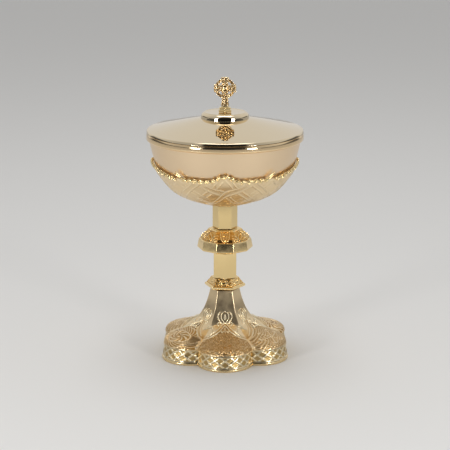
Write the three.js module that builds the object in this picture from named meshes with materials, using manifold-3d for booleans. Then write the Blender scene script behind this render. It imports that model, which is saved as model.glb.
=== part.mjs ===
// A covered ciborium in gilt metal. A foot of six lobes carries a faceted stem with a knop, and the stem
// carries a wide cup that sits in a cast calyx. The lid lifts off the cup, and a ring cross stands on it.
// Millimetres, +Z up. The origin is the middle of the foot's underside, and the front is towards -Y.

import * as THREE from 'three';
import { mergeVertices } from 'three/addons/utils/BufferGeometryUtils.js';
import Module from 'manifold-3d';

const wasm = await Module();
wasm.setup();

// Clearances
const SEAT = 0.3; // between two pieces that rest on each other
const BORE_PLAY = 0.3; // around a rod, a spigot or a tang in its hole

// Foot: the lobed outline is six arcs round centres that stand off the axis
const LOBES = 6;
const LOBE_CENTRE = 37.5;
const LOBE_RADIUS = 26.3;
const FOOT_WALL = 1.6;
const RIM_HEIGHT = 2.8;
const RIM_LAND = 5.0; // width of the flat ring that the foot stands on
const GALLERY_HEIGHT = 10.5;
const GALLERY_STEP = 0.6; // how far the band's foot stands in from the rim's edge
const GALLERY_LEAN = 2.2; // how much further in its top stands
const GALLERY_RELIEF = 1.3; // depth of the lattice's lozenges
const LOZENGES_PER_LOBE = 7;
const LOZENGE_ROWS = 3; // half lozenges, one above the other
const SHELL_HEIGHT = 47.6;
const NECK_TOP_WALL = 2.5;

// Stem
const COLLAR_HEIGHT = 10.8;
const COLLAR_RADIUS = 19.1;
const COLLAR_UNDERSIDE = 2.7; // height of the taper under its edge
const COLLAR_RIM = 1.7; // height of the collar's upright edge
const COLLAR_LIP = 0.5; // how far its foot stands out over the neck
const STEM_MARGIN = 1.0; // flat ring round a stem tube where it stands on a cast piece
const COLLAR_TURN = -7.4; // degrees that the collar is turned on the stem
const LOWER_STEM_HEIGHT = 24.1;
const LOWER_STEM_RADIUS = 12.1;
const UPPER_STEM_HEIGHT = 21.9;
const UPPER_STEM_RADIUS = 11.5;
const STEM_BORE = 8.6;
const SPIGOT_HEIGHT = 4.0;
const KNOP_SIDES = 10;
const KNOP_RADIUS = 25.8; // over its corners
const KNOP_BAND_HEIGHT = 8.3;
const KNOP_UNDERSIDE = 4.4; // height of the taper under the band
const KNOP_BEVEL = 9.1; // height of the bevel over the band
const KNOP_LEDGE_RADIUS = 15.4;
const KNOP_LEDGE_HEIGHT = 0.8;

// Tie rod and what it draws together
const ROD_RADIUS = 3.0;
const FOOT_PLATE_RADIUS = 9.5;
const FOOT_PLATE_HEIGHT = 2.0;
const FOOT_NUT_RADIUS = 5.8;
const FOOT_NUT_HEIGHT = 5.0;
const ROD_BELOW_NUT = 2.5;
const BOSS_RADIUS = 8.0;
const BOSS_HEIGHT = 10.0;
const BOSS_ROOF = 2.5; // metal over the rod's end

// Cup
const BOWL_RADIUS = 69.3;
const BOWL_HEIGHT = 59.2;
const BOWL_WALL = 1.2;
const CALYX_WALL = 1.2;
const CALYX_BEAD = 0.9; // how far the crest's moulding stands out from the calyx
const CREST_LOW = 34.5; // height of the crest over the calyx's foot, between its points
const CREST_PEAK = 41.0; // at the rounded points
const CREST_SPIKE = 42.0; // at the leaf spikes
const CREST_REPEATS = 4;

// Lid
const LID_OVERHANG = 2.6; // how far the lid's edge stands out over the cup's rim
const LID_RIM_HEIGHT = 6.4;
const LID_RISE = 12.6; // from the rim's top to the knob's seat
const LID_BULGE = 0.6; // how far the cone's side is crowned
const LID_ROLL = 4.0; // how far in the cone's edge begins to turn down
const LID_ROLL_HEIGHT = 3.2;
const LID_WALL = 1.2;
const LID_FLANGE = 1.8; // thickness of the ledge that rests on the cup
const BEZEL_DEPTH = 6.0; // how far the locating ring reaches into the cup
const BEZEL_PLAY = 1.0;
const KNOB_RADIUS = 20.4;
const KNOB_HEIGHT = 5.4;
const KNOB_FILLET = 0.9; // flare of its foot
const CROSS_BASE_RADIUS = 6.7;
const CROSS_BASE_HEIGHT = 3.8;
const CROSS_NECK_RADIUS = 3.9;
const CROSS_NECK_HEIGHT = 1.0;
const CROSS_SHAFT = 16.0; // from the cross's foot to the middle of its ring
const CROSS_ARM = 10.1; // from the middle of the ring to an arm's end
const CROSS_ARM_WIDTH = 5.6;
const CROSS_END_WIDTH = 7.6;
const CROSS_RING_OUTER = 9.1;
const CROSS_RING_INNER = 6.7;
const CROSS_THICKNESS = 4.2;
const CROSS_RING_THICKNESS = 3.0;
const TANG_RADIUS = 1.5;
const LID_WASHER_RADIUS = 6.0;
const LID_WASHER_HEIGHT = 1.0;
const LID_NUT_RADIUS = 3.2;
const LID_NUT_HEIGHT = 2.8;
const TANG_BELOW_NUT = 1.2;

// Fineness of the round forms
const STEPS_PER_LOBE = 10;
const ROUND_STEPS = 40;
const STEM_STEPS = 24;
const KNOP_STEPS = 30; // meets every corner of its hexagon and of its band
const SMALL_STEPS = 16;
const WALL_STEPS = 10; // rows of facets up the cup's wall

const lidRadius = BOWL_RADIUS + LID_OVERHANG;

// Heights that the pieces stand at, from the floor up
const galleryFoot = RIM_HEIGHT + SEAT;
const shellFoot = galleryFoot + GALLERY_HEIGHT + SEAT;
const shellTop = shellFoot + SHELL_HEIGHT;
const collarFoot = shellTop + SEAT;
const lowerStemFoot = collarFoot + COLLAR_HEIGHT + SEAT;
const knopFoot = lowerStemFoot + LOWER_STEM_HEIGHT + SEAT;
const knopHeight = KNOP_UNDERSIDE + KNOP_BAND_HEIGHT + KNOP_BEVEL + KNOP_LEDGE_HEIGHT;
const upperStemFoot = knopFoot + knopHeight + SEAT;
const calyxFoot = upperStemFoot + UPPER_STEM_HEIGHT + SEAT;
const bowlFoot = calyxFoot + CALYX_WALL + SEAT;
const bowlTop = bowlFoot + BOWL_HEIGHT;
const lidFoot = bowlTop + SEAT;
const lidRimTop = lidFoot + LID_RIM_HEIGHT;
const knobSeat = lidRimTop + SEAT + LID_RISE;
const knobFoot = knobSeat + SEAT;
const crossBaseFoot = knobFoot + KNOB_HEIGHT + SEAT;
const crossFoot = crossBaseFoot + CROSS_BASE_HEIGHT + CROSS_NECK_HEIGHT + SEAT;

// Turns a closed geometry into one with shared vertices, no flat triangles and its faces outwards.
function solid(geometry) {
  const bare = geometry.clone();
  bare.deleteAttribute('normal');
  bare.deleteAttribute('uv');
  const merged = mergeVertices(bare, 1e-4);
  const position = merged.attributes.position;
  const kept = [];
  let volume = 0;
  const a = new THREE.Vector3();
  const b = new THREE.Vector3();
  const c = new THREE.Vector3();
  for (let i = 0; i < merged.index.count; i += 3) {
    const [p, q, r] = [0, 1, 2].map((k) => merged.index.getX(i + k));
    if (p === q || q === r || r === p) continue;
    kept.push(p, q, r);
    a.fromBufferAttribute(position, p);
    b.fromBufferAttribute(position, q);
    c.fromBufferAttribute(position, r);
    volume += a.dot(b.cross(c));
  }
  if (volume < 0) kept.reverse();
  merged.setIndex(kept);
  merged.computeVertexNormals();
  return merged;
}

function toManifold(geometry) {
  const closed = solid(geometry);
  const vertProperties = new Float32Array(closed.attributes.position.array);
  const triVerts = new Uint32Array(closed.index.array);
  return new wasm.Manifold(new wasm.Mesh({ numProp: 3, vertProperties, triVerts }));
}

function fromManifold(body) {
  const mesh = body.getMesh();
  const geometry = new THREE.BufferGeometry();
  const points = [];
  for (let i = 0; i < mesh.vertProperties.length; i += mesh.numProp) {
    points.push(mesh.vertProperties[i], mesh.vertProperties[i + 1], mesh.vertProperties[i + 2]);
  }
  geometry.setAttribute('position', new THREE.Float32BufferAttribute(points, 3));
  geometry.setIndex(Array.from(mesh.triVerts));
  return solid(geometry);
}

// Skins rings of points that all have the same count. The last ring joins the first one, so the solid
// goes round the axis like a tyre. tilt says for each quad which way its diagonal runs.
function tyre(rings, tilt = () => false) {
  const count = rings[0].length;
  const points = rings.flat();
  const index = [];
  rings.forEach((ring, row) => {
    const next = (row + 1) % rings.length;
    for (let i = 0; i < count; i++) {
      const j = (i + 1) % count;
      const [p, q, r, s] = [row * count + i, row * count + j, next * count + j, next * count + i];
      if (tilt(row, i)) index.push(p, q, s, q, r, s);
      else index.push(p, q, r, p, r, s);
    }
  });
  const geometry = new THREE.BufferGeometry();
  geometry.setAttribute('position', new THREE.Float32BufferAttribute(points.flat(), 3));
  geometry.setIndex(index);
  return solid(geometry);
}

// Revolves a closed profile of [radius, height] pairs round the Z axis.
function revolve(profile, steps = ROUND_STEPS) {
  const points = profile.map(([radius, height]) => new THREE.Vector2(radius, height));
  if (profile[0][0] > 0) points.push(points[0].clone());
  return solid(new THREE.LatheGeometry(points, steps).rotateX(Math.PI / 2));
}

// Radius of a regular polygon in the direction angle. One corner lies at turn, and corner is its radius.
function polygonRadius(angle, sides, corner, turn) {
  const sector = (2 * Math.PI) / sides;
  const inside = THREE.MathUtils.euclideanModulo(angle - turn, sector) - sector / 2;
  return (corner * Math.cos(sector / 2)) / Math.cos(inside);
}

const hexagonFaceFront = (corner) => (angle) => polygonRadius(angle, 6, corner, 0);
const hexagonCornerFront = (corner) => (angle) => polygonRadius(angle, 6, corner, Math.PI / 6);
const knopBand = (corner) => (angle) => polygonRadius(angle, KNOP_SIDES, corner, -Math.PI / 2 + Math.PI / KNOP_SIDES);
const circle = (radius) => () => radius;

// A ring of points at one height, with its radius from a rule of the angle. Angles start at +X.
function ring(rule, height, angles) {
  return angles.map((angle) => {
    const radius = rule(angle);
    return [radius * Math.cos(angle), radius * Math.sin(angle), height];
  });
}

// A ring whose points each have their own radius and height, from a rule of the point's number.
function wavyRing(angles, rule) {
  return angles.map((angle, i) => {
    const [radius, height] = rule(i);
    return [radius * Math.cos(angle), radius * Math.sin(angle), height];
  });
}

const evenAngles = (count) => Array.from({ length: count }, (_, i) => (2 * Math.PI * i) / count);

// A turned or faceted piece round a bore, from [rule, height] pairs up its outside.
function faceted(outside, bore, foot, top, steps = STEM_STEPS) {
  const angles = evenAngles(steps);
  const rings = outside.map(([rule, height]) => ring(rule, height, angles));
  rings.push(ring(circle(bore), top, angles));
  rings.push(ring(circle(bore), foot, angles));
  return tyre(rings);
}

// Angles of the lobed outline: even steps along each lobe's arc, from notch to notch.
const notchAngle = Math.PI / LOBES;
const notchChord = LOBE_CENTRE * Math.sin(notchAngle);
const notchReach = Math.acos(notchChord / LOBE_RADIUS) + notchAngle;
function anglesOfLobes(steps) {
  const angles = [];
  for (let lobe = 0; lobe < LOBES; lobe++) {
    const axis = ((lobe - LOBES / 4) * 2 * Math.PI) / LOBES;
    for (let i = 0; i < steps; i++) {
      const turn = notchReach * ((2 * i) / steps - 1);
      const along = LOBE_CENTRE + LOBE_RADIUS * Math.cos(turn);
      const across = LOBE_RADIUS * Math.sin(turn);
      angles.push(axis + Math.atan2(across, along));
    }
  }
  return angles;
}
const lobeAngles = anglesOfLobes(STEPS_PER_LOBE);
const latticeAngles = anglesOfLobes(2 * LOZENGES_PER_LOBE);

// Radius of the lobed outline in the direction angle, drawn in by inset.
const lobed = (inset) => (angle) => {
  const sector = (2 * Math.PI) / LOBES;
  const fromLobe = THREE.MathUtils.euclideanModulo(angle + Math.PI / 2 + sector / 2, sector) - sector / 2;
  const side = LOBE_CENTRE * Math.sin(fromLobe);
  return LOBE_CENTRE * Math.cos(fromLobe) + Math.sqrt(LOBE_RADIUS ** 2 - side ** 2) - inset;
};

// The plain strip that the foot stands on.
function footRim() {
  const chamfer = 0.5;
  return tyre([
    ring(lobed(RIM_LAND), 0, lobeAngles),
    ring(lobed(chamfer), 0, lobeAngles),
    ring(lobed(0), RIM_HEIGHT / 2, lobeAngles),
    ring(lobed(chamfer), RIM_HEIGHT, lobeAngles),
    ring(lobed(RIM_LAND), RIM_HEIGHT, lobeAngles),
  ]);
}

// The upright band with its lattice: the strands cross at every other point of a grid, and the points
// between them are the sunken middles of the lozenges.
function footGallery() {
  const backInset = GALLERY_STEP + GALLERY_LEAN + GALLERY_RELIEF + FOOT_WALL;
  const leanCurve = 1.5;
  const rings = [];
  for (let row = 0; row <= LOZENGE_ROWS; row++) {
    const rise = row / LOZENGE_ROWS;
    const strand = GALLERY_STEP + GALLERY_LEAN * rise ** leanCurve;
    rings.push(latticeAngles.map((angle, column) => {
      const sunken = (row + column) % 2 === 1 && row > 0 && row < LOZENGE_ROWS;
      const radius = lobed(strand + (sunken ? GALLERY_RELIEF : 0))(angle);
      return [radius * Math.cos(angle), radius * Math.sin(angle), galleryFoot + rise * GALLERY_HEIGHT];
    }));
  }
  rings.push(ring(lobed(backInset), galleryFoot + GALLERY_HEIGHT, latticeAngles));
  rings.push(ring(lobed(backInset), galleryFoot, latticeAngles));
  return tyre(rings, (row, column) => row < LOZENGE_ROWS && (row + column) % 2 === 1);
}

// The cushion of six lobes and the hexagonal neck that grows out of it. Each level is a share of the
// height, with its radius on a lobe's middle and in the valley between two lobes, where the neck has a
// corner. The radii are given for a foot that reaches FITTED_REACH and follow the foot's real reach.
// within marks the levels that the hollow inside follows.
const FITTED_REACH = 63.8;
const shellLevels = [
  { rise: 0, tip: 60.9, valley: 48.3 },
  { rise: 0.02, tip: 62.0, valley: 49.4 },
  { rise: 0.07, tip: 62.2, valley: 49.2, within: true },
  { rise: 0.112, tip: 59.8, valley: 46.6 },
  { rise: 0.141, tip: 56.3, valley: 43.4, within: true },
  { rise: 0.182, tip: 50.6, valley: 38.9 },
  { rise: 0.233, tip: 43.3, valley: 34.3, within: true },
  { rise: 0.292, tip: 34.9, valley: 30.2, within: true },
  { rise: 0.349, tip: 27.6, valley: 27.7 },
  { rise: 0.414, tip: 22.5, valley: 25.6, within: true },
  { rise: 0.536, tip: 18.7, valley: 21.6, within: true },
  { rise: 0.62, tip: 16.8, valley: 19.4 },
  { rise: 0.784, tip: 14.2, valley: 16.4, within: true },
  { rise: 0.868, tip: 13.07, valley: 15.1 },
  { rise: 1, tip: 11.78, valley: 13.6 },
];
const valleyRadius = lobed(0)(0);
const footReach = LOBE_CENTRE + LOBE_RADIUS;
const shellScale = footReach / FITTED_REACH;
const flatShare = Math.cos(Math.PI / LOBES);

// Outline of a level, between the lobed one and the hexagon, moved in by wall.
function shellRule(level, wall) {
  const valley = level.valley * shellScale - wall;
  const tip = level.tip * shellScale - wall;
  const lobeShare = (tip / valley - flatShare) / (footReach / valleyRadius - flatShare);
  const neck = hexagonFaceFront(valley);
  return (angle) => {
    const lobeOutline = (lobed(0)(angle) * valley) / valleyRadius;
    return lobeShare * lobeOutline + (1 - lobeShare) * neck(angle);
  };
}

function footShell() {
  const hole = ROD_RADIUS + BORE_PLAY + FOOT_WALL + BORE_PLAY;
  const roof = shellTop - NECK_TOP_WALL;
  const rings = shellLevels.map((level) => (
    ring(shellRule(level, 0), shellFoot + level.rise * SHELL_HEIGHT, lobeAngles)));
  rings.push(ring(circle(hole), shellTop, lobeAngles));
  rings.push(ring(circle(hole), roof, lobeAngles));
  rings.push(ring(shellRule(shellLevels.at(-1), FOOT_WALL), roof, lobeAngles));
  for (const level of shellLevels.filter((each) => each.within).toReversed()) {
    const height = shellFoot + level.rise * SHELL_HEIGHT - FOOT_WALL;
    rings.push(ring(shellRule(level, FOOT_WALL), height, lobeAngles));
  }
  rings.push(ring(shellRule(shellLevels[0], FOOT_WALL), shellFoot, lobeAngles));
  return tyre(rings);
}

// The hexagonal flange between the neck and the lower stem. Its lower spigot passes through the neck's
// roof, and its upper one centres the stem.
function collar() {
  const neckRadius = shellLevels.at(-1).valley * shellScale;
  const rimFoot = collarFoot + COLLAR_UNDERSIDE;
  const spigot = ROD_RADIUS + BORE_PLAY + FOOT_WALL;
  const top = collarFoot + COLLAR_HEIGHT;
  const bore = ROD_RADIUS + BORE_PLAY;
  const spigotFoot = shellTop - NECK_TOP_WALL;
  return faceted([
    [circle(spigot), spigotFoot],
    [circle(spigot), collarFoot],
    [hexagonFaceFront(neckRadius + COLLAR_LIP), collarFoot],
    [hexagonFaceFront(COLLAR_RADIUS), rimFoot],
    [hexagonFaceFront(COLLAR_RADIUS), rimFoot + COLLAR_RIM],
    [hexagonFaceFront(LOWER_STEM_RADIUS + STEM_MARGIN), top],
    [circle(STEM_BORE - BORE_PLAY), top],
    [circle(STEM_BORE - BORE_PLAY), top + SEAT + SPIGOT_HEIGHT],
  ], bore, spigotFoot, top + SEAT + SPIGOT_HEIGHT);
}

function stemTube(rule, foot, height) {
  return faceted([[rule, foot], [rule, foot + height]], STEM_BORE, foot, foot + height);
}

// The many-sided knop, with a spigot at each end. Its band leans in a little, and the bevel over it is
// hollowed and ends in a hexagonal ledge round the upper tube.
function knop() {
  const spigot = circle(STEM_BORE - BORE_PLAY);
  const low = knopFoot - SEAT - SPIGOT_HEIGHT;
  const bandFoot = knopFoot + KNOP_UNDERSIDE;
  const bandTop = bandFoot + KNOP_BAND_HEIGHT;
  const ledge = bandTop + KNOP_BEVEL;
  const top = ledge + KNOP_LEDGE_HEIGHT;
  const high = top + SEAT + SPIGOT_HEIGHT;
  const edge = 0.5; // lean of the band and chamfer of its lower edge
  const bevel = (inwards, upwards) => [
    knopBand(KNOP_RADIUS - inwards * (KNOP_RADIUS - KNOP_LEDGE_RADIUS)), bandTop + upwards * KNOP_BEVEL];
  const ledgeRule = hexagonFaceFront(UPPER_STEM_RADIUS + STEM_MARGIN);
  return faceted([
    [spigot, low],
    [spigot, knopFoot],
    [knopBand(LOWER_STEM_RADIUS + STEM_MARGIN), knopFoot],
    [knopBand(KNOP_RADIUS - edge), bandFoot - edge],
    [knopBand(KNOP_RADIUS), bandFoot],
    [knopBand(KNOP_RADIUS - edge), bandTop],
    bevel(0.12, 0.15),
    bevel(0.27, 0.35),
    [hexagonFaceFront(KNOP_LEDGE_RADIUS), ledge],
    [ledgeRule, ledge + KNOP_LEDGE_HEIGHT / 2],
    [ledgeRule, top],
    [spigot, top],
    [spigot, high],
  ], ROD_RADIUS + BORE_PLAY, low, high, KNOP_STEPS);
}

// The stud block that is soldered under the cup and takes the rod's upper end in a blind hole.
function bowlBoss() {
  const top = bowlFoot - SEAT;
  const foot = top - BOSS_HEIGHT;
  const hole = ROD_RADIUS + BORE_PLAY;
  const roof = top - BOSS_ROOF;
  return revolve([[0, top], [BOSS_RADIUS, top], [BOSS_RADIUS, foot], [hole, foot], [hole, roof], [0, roof]], SMALL_STEPS);
}

function tieRod() {
  const low = shellTop - NECK_TOP_WALL - SEAT - FOOT_PLATE_HEIGHT - SEAT - FOOT_NUT_HEIGHT - ROD_BELOW_NUT;
  const high = bowlFoot - SEAT - BOSS_ROOF - SEAT;
  return revolve([[0, low], [ROD_RADIUS, low], [ROD_RADIUS, high], [0, high]], SMALL_STEPS);
}

function footPlate() {
  const top = shellTop - NECK_TOP_WALL - SEAT;
  const hole = ROD_RADIUS + BORE_PLAY;
  const foot = top - FOOT_PLATE_HEIGHT;
  return revolve([[hole, foot], [FOOT_PLATE_RADIUS, foot], [FOOT_PLATE_RADIUS, top], [hole, top]], SMALL_STEPS);
}

function nut(corner, bore, foot, height) {
  const rule = hexagonFaceFront(corner);
  return faceted([[rule, foot], [rule, foot + height]], bore, foot, foot + height);
}

function footNut() {
  const top = shellTop - NECK_TOP_WALL - SEAT - FOOT_PLATE_HEIGHT - SEAT;
  return nut(FOOT_NUT_RADIUS, ROD_RADIUS + BORE_PLAY, top - FOOT_NUT_HEIGHT, FOOT_NUT_HEIGHT);
}

// The cup's outer wall, from the middle of its floor to its rim, as shares of its radius and height.
const bowlCurve = new THREE.SplineCurve([
  [0, 0], [0.15, 0.002], [0.289, 0.038], [0.42, 0.088], [0.553, 0.146], [0.658, 0.212], [0.747, 0.302],
  [0.825, 0.419], [0.879, 0.503], [0.911, 0.593], [0.937, 0.696], [0.965, 0.823], [1, 1],
].map(([x, y]) => new THREE.Vector2(x * BOWL_RADIUS, bowlFoot + y * BOWL_HEIGHT)));

// A point of the cup's wall at share u of its length, moved out by offset along the wall's normal.
function bowlPoint(u, offset) {
  const point = bowlCurve.getPointAt(u);
  const along = bowlCurve.getTangentAt(u);
  return [point.x + offset * along.y, point.y - offset * along.x];
}

function bowl() {
  const profile = [[0, bowlFoot]];
  for (let i = 1; i <= WALL_STEPS; i++) profile.push(bowlPoint(i / WALL_STEPS, 0));
  const [rimRadius, rimHeight] = bowlPoint(1, -BOWL_WALL);
  profile.push([rimRadius, Math.min(rimHeight, bowlTop)]);
  for (let i = WALL_STEPS - 1; i > 0; i--) profile.push(bowlPoint(i / WALL_STEPS, -BOWL_WALL));
  profile.push([0, bowlFoot + BOWL_WALL]);
  return revolve(profile);
}

// The calyx's upper edge within half a repeat: degrees from the rounded point, and the share of the
// point's rise or of the leaf spike's rise that the edge has there.
const crestOutline = [
  { degrees: 0, point: 1, spike: 0 },
  { degrees: 4, point: 0.78, spike: 0 },
  { degrees: 8, point: 0.3, spike: 0 },
  { degrees: 13, point: 0, spike: 0 },
  { degrees: 20, point: 0, spike: 0 },
  { degrees: 27, point: 0, spike: 0 },
  { degrees: 34, point: 0, spike: 0.1 },
  { degrees: 40.5, point: 0, spike: 0.2 },
  { degrees: 45, point: 0, spike: 1 },
];
const crestStops = [...crestOutline.slice(1, -1).toReversed().map((stop) => ({ ...stop, degrees: -stop.degrees })),
  ...crestOutline];
const crestPoints = Array.from({ length: CREST_REPEATS }, (_, repeat) => crestStops.map((stop) => ({
  angle: THREE.MathUtils.degToRad(stop.degrees) * (4 / CREST_REPEATS) + (repeat * 2 * Math.PI) / CREST_REPEATS,
  height: CREST_LOW + stop.point * (CREST_PEAK - CREST_LOW) + stop.spike * (CREST_SPIKE - CREST_LOW),
}))).flat();

// Share of the cup's wall at which it reaches a height over the calyx's foot.
function wallShareAt(height) {
  let low = 0;
  let high = 1;
  for (let i = 0; i < 24; i++) {
    const middle = (low + high) / 2;
    if (bowlPoint(middle, 0)[1] < calyxFoot + height) low = middle;
    else high = middle;
  }
  return low;
}

// The cast calyx that clasps the cup. It is pierced in the middle for the stud block, and its crest
// ends in a raised moulding. Its rows of points lie over the cup's own, so that the two stay apart, and
// where the crest is low the last rows crowd together under it.
function calyx() {
  const angles = crestPoints.map((point) => point.angle);
  const startShare = (BOSS_RADIUS + BORE_PLAY) / bowlCurve.getLength();
  const crestShares = crestPoints.map((point) => wallShareAt(point.height));
  const moulding = { foot: 0.03, bead: 0.02 }; // shares of the wall under the crest
  const rows = [];
  for (let i = 1; i / WALL_STEPS < Math.max(...crestShares) - moulding.foot; i++) {
    if (i / WALL_STEPS > startShare + moulding.bead) rows.push(i / WALL_STEPS);
  }
  const crowding = 0.004;
  const row = (number, offset) => wavyRing(angles, (i) => {
    const highest = crestShares[i] - moulding.foot - crowding * (rows.length - number);
    return bowlPoint(Math.min(rows[number], highest), offset);
  });
  const level = (share, offset) => wavyRing(angles, () => bowlPoint(share, offset));
  const crestRow = (back, offset) => wavyRing(angles, (i) => bowlPoint(crestShares[i] - back, offset));
  const outer = SEAT + CALYX_WALL;
  return tyre([
    level(startShare, outer),
    ...rows.map((_, number) => row(number, outer)),
    crestRow(moulding.foot, outer),
    crestRow(moulding.bead, outer + CALYX_BEAD),
    crestRow(0, outer + CALYX_BEAD),
    crestRow(0, SEAT),
    ...rows.map((_, number) => row(number, SEAT)).toReversed(),
    level(startShare, SEAT),
  ]);
}

// The rolled band round the lid's edge, with the flange that rests on the cup.
const bezelOuter = BOWL_RADIUS - BOWL_WALL - BEZEL_PLAY - SEAT;
const flangeInner = bezelOuter + SEAT;
function lidRim() {
  const [foot, top] = [lidFoot, lidRimTop];
  const edge = lidRadius - SEAT; // the cone's edge, which the band carries
  return revolve([
    [flangeInner, foot],
    [lidRadius - 0.25 * LID_RIM_HEIGHT, foot],
    [lidRadius - 0.06 * LID_RIM_HEIGHT, foot + 0.25 * LID_RIM_HEIGHT],
    [lidRadius, foot + 0.7 * LID_RIM_HEIGHT],
    [edge, top],
    [edge - LID_WALL, top],
    [edge - 1.75 * LID_WALL, foot + LID_FLANGE],
    [flangeInner, foot + LID_FLANGE],
  ]);
}

// The locating ring that drops inside the cup, chamfered so that it finds its way in.
function lidBezel() {
  const foot = lidFoot - BEZEL_DEPTH;
  const top = lidFoot + LID_FLANGE;
  const chamfer = LID_WALL / 3;
  return revolve([
    [bezelOuter - LID_WALL, foot],
    [bezelOuter - chamfer, foot],
    [bezelOuter, foot + 2 * chamfer],
    [bezelOuter, top],
    [bezelOuter - LID_WALL, top],
  ]);
}

// The spun cone of the lid: its side is slightly crowned, and its edge turns down to the rim.
function lidDome() {
  const foot = lidRimTop + SEAT;
  const hole = TANG_RADIUS + BORE_PLAY;
  const radius = lidRadius - SEAT;
  const rollStart = radius - LID_ROLL;
  const plateau = KNOB_RADIUS + KNOB_FILLET;
  const slope = (LID_RISE - LID_ROLL_HEIGHT) / (rollStart - plateau);
  const outside = [[hole, knobSeat], [plateau, knobSeat]];
  for (const share of [0.5, 1]) {
    const at = plateau + share * (rollStart - plateau);
    outside.push([at, knobSeat - slope * (at - plateau) + LID_BULGE * Math.sin(Math.PI * share)]);
  }
  for (const degrees of [30, 60]) {
    const angle = THREE.MathUtils.degToRad(degrees);
    outside.push([rollStart + LID_ROLL * Math.sin(angle), foot + LID_ROLL_HEIGHT * Math.cos(angle) ** 0.8]);
  }
  outside.push([radius, foot]);
  const inside = [[radius - LID_WALL, foot]];
  for (let i = outside.length - 3; i >= 2; i--) {
    inside.push([outside[i][0] - 0.4 * LID_WALL, Math.max(outside[i][1] - LID_WALL, foot + 0.4)]);
  }
  inside.push([plateau, knobSeat - LID_WALL]);
  inside.push([hole, knobSeat - LID_WALL]);
  return revolve([...outside, ...inside]);
}

// The polished button on the lid: an upright wall on a flared foot, with a narrow rolled edge.
function lidKnob() {
  const hole = TANG_RADIUS + BORE_PLAY;
  const top = knobFoot + KNOB_HEIGHT;
  const waist = KNOB_RADIUS - KNOB_FILLET / 2;
  return revolve([
    [hole, knobFoot],
    [KNOB_RADIUS + KNOB_FILLET, knobFoot],
    [KNOB_RADIUS, knobFoot + KNOB_FILLET / 2],
    [waist, knobFoot + 0.35 * KNOB_HEIGHT],
    [KNOB_RADIUS, knobFoot + 0.8 * KNOB_HEIGHT],
    [waist, top],
    [hole, top],
  ]);
}

// The small hexagonal block under the cross, with a neck on it.
function crossBase() {
  const top = crossBaseFoot + CROSS_BASE_HEIGHT;
  const neckTop = top + CROSS_NECK_HEIGHT;
  const chamfer = 0.6;
  return faceted([
    [hexagonCornerFront(CROSS_BASE_RADIUS), crossBaseFoot],
    [hexagonCornerFront(CROSS_BASE_RADIUS), top - chamfer],
    [hexagonCornerFront(CROSS_BASE_RADIUS - chamfer), top],
    [hexagonCornerFront(CROSS_NECK_RADIUS), top],
    [hexagonCornerFront(CROSS_NECK_RADIUS), neckTop],
  ], TANG_RADIUS + BORE_PLAY, crossBaseFoot, neckTop);
}

// One arm of the cross, along +X from the middle of the ring, widening to a rounded end.
function armShape(reach) {
  const half = CROSS_ARM_WIDTH / 2;
  const end = CROSS_END_WIDTH / 2;
  const crown = 0.5; // how far the end is rounded
  const flareStart = 0.62 * reach;
  const flareMiddle = 0.8 * reach;
  const shape = new THREE.Shape();
  shape.moveTo(-half, -half);
  shape.lineTo(flareStart, -half);
  shape.quadraticCurveTo(flareMiddle, -half, reach - crown, -end);
  shape.quadraticCurveTo(reach + crown, 0, reach - crown, end);
  shape.quadraticCurveTo(flareMiddle, half, flareStart, half);
  shape.lineTo(-half, half);
  return shape;
}

function plate(shape, thickness, curveSegments) {
  const geometry = new THREE.ExtrudeGeometry(shape, { depth: thickness, bevelEnabled: false, curveSegments });
  return geometry.translate(0, 0, -thickness / 2);
}

// The ring cross with its four piercings, and the tang that goes down through the lid.
function cross() {
  let body = null;
  for (const quarter of [0, 1, 2]) {
    const arm = plate(armShape(CROSS_ARM), CROSS_THICKNESS, 4).rotateZ((quarter * Math.PI) / 2);
    body = body ? body.add(toManifold(arm)) : toManifold(arm);
  }
  body = body.add(toManifold(plate(armShape(CROSS_SHAFT), CROSS_THICKNESS, 4).rotateZ(-Math.PI / 2)));
  const hoop = new THREE.Shape();
  hoop.absarc(0, 0, CROSS_RING_OUTER, 0, 2 * Math.PI);
  const opening = new THREE.Path();
  opening.absarc(0, 0, CROSS_RING_INNER, 0, 2 * Math.PI);
  hoop.holes.push(opening);
  body = body.add(toManifold(plate(hoop, CROSS_RING_THICKNESS, 16)));
  const ample = 4 * CROSS_ARM;
  const keep = new THREE.BoxGeometry(ample, CROSS_SHAFT + ample, ample);
  keep.translate(0, (ample - CROSS_SHAFT) / 2, 0);
  body = body.intersect(toManifold(keep));
  const tangFoot = lidNutFoot() - TANG_BELOW_NUT - crossFoot - CROSS_SHAFT;
  const tangTop = CROSS_RING_OUTER - CROSS_SHAFT;
  const tang = new THREE.CylinderGeometry(TANG_RADIUS, TANG_RADIUS, tangTop - tangFoot, SMALL_STEPS);
  tang.translate(0, (tangTop + tangFoot) / 2, 0);
  body = body.add(toManifold(tang));
  return fromManifold(body).rotateX(Math.PI / 2).translate(0, 0, crossFoot + CROSS_SHAFT);
}

function lidNutFoot() {
  return knobSeat - LID_WALL - SEAT - LID_WASHER_HEIGHT - SEAT - LID_NUT_HEIGHT;
}

function lidWasher() {
  const top = knobSeat - LID_WALL - SEAT;
  const foot = top - LID_WASHER_HEIGHT;
  const hole = TANG_RADIUS + BORE_PLAY;
  return revolve([[hole, foot], [LID_WASHER_RADIUS, foot], [LID_WASHER_RADIUS, top], [hole, top]], SMALL_STEPS);
}

const finish = {
  satinGold: { color: 0xd9c4a0, roughness: 0.32, metalness: 1 },
  polishedGold: { color: 0xe3c98f, roughness: 0.12, metalness: 1 },
  castGold: { color: 0xd9a95c, roughness: 0.3, metalness: 1 },
  plainBrass: { color: 0xb89a5e, roughness: 0.45, metalness: 1 },
  steel: { color: 0x9a9a96, roughness: 0.4, metalness: 1 },
};

const ciborium = new THREE.Group();

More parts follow.
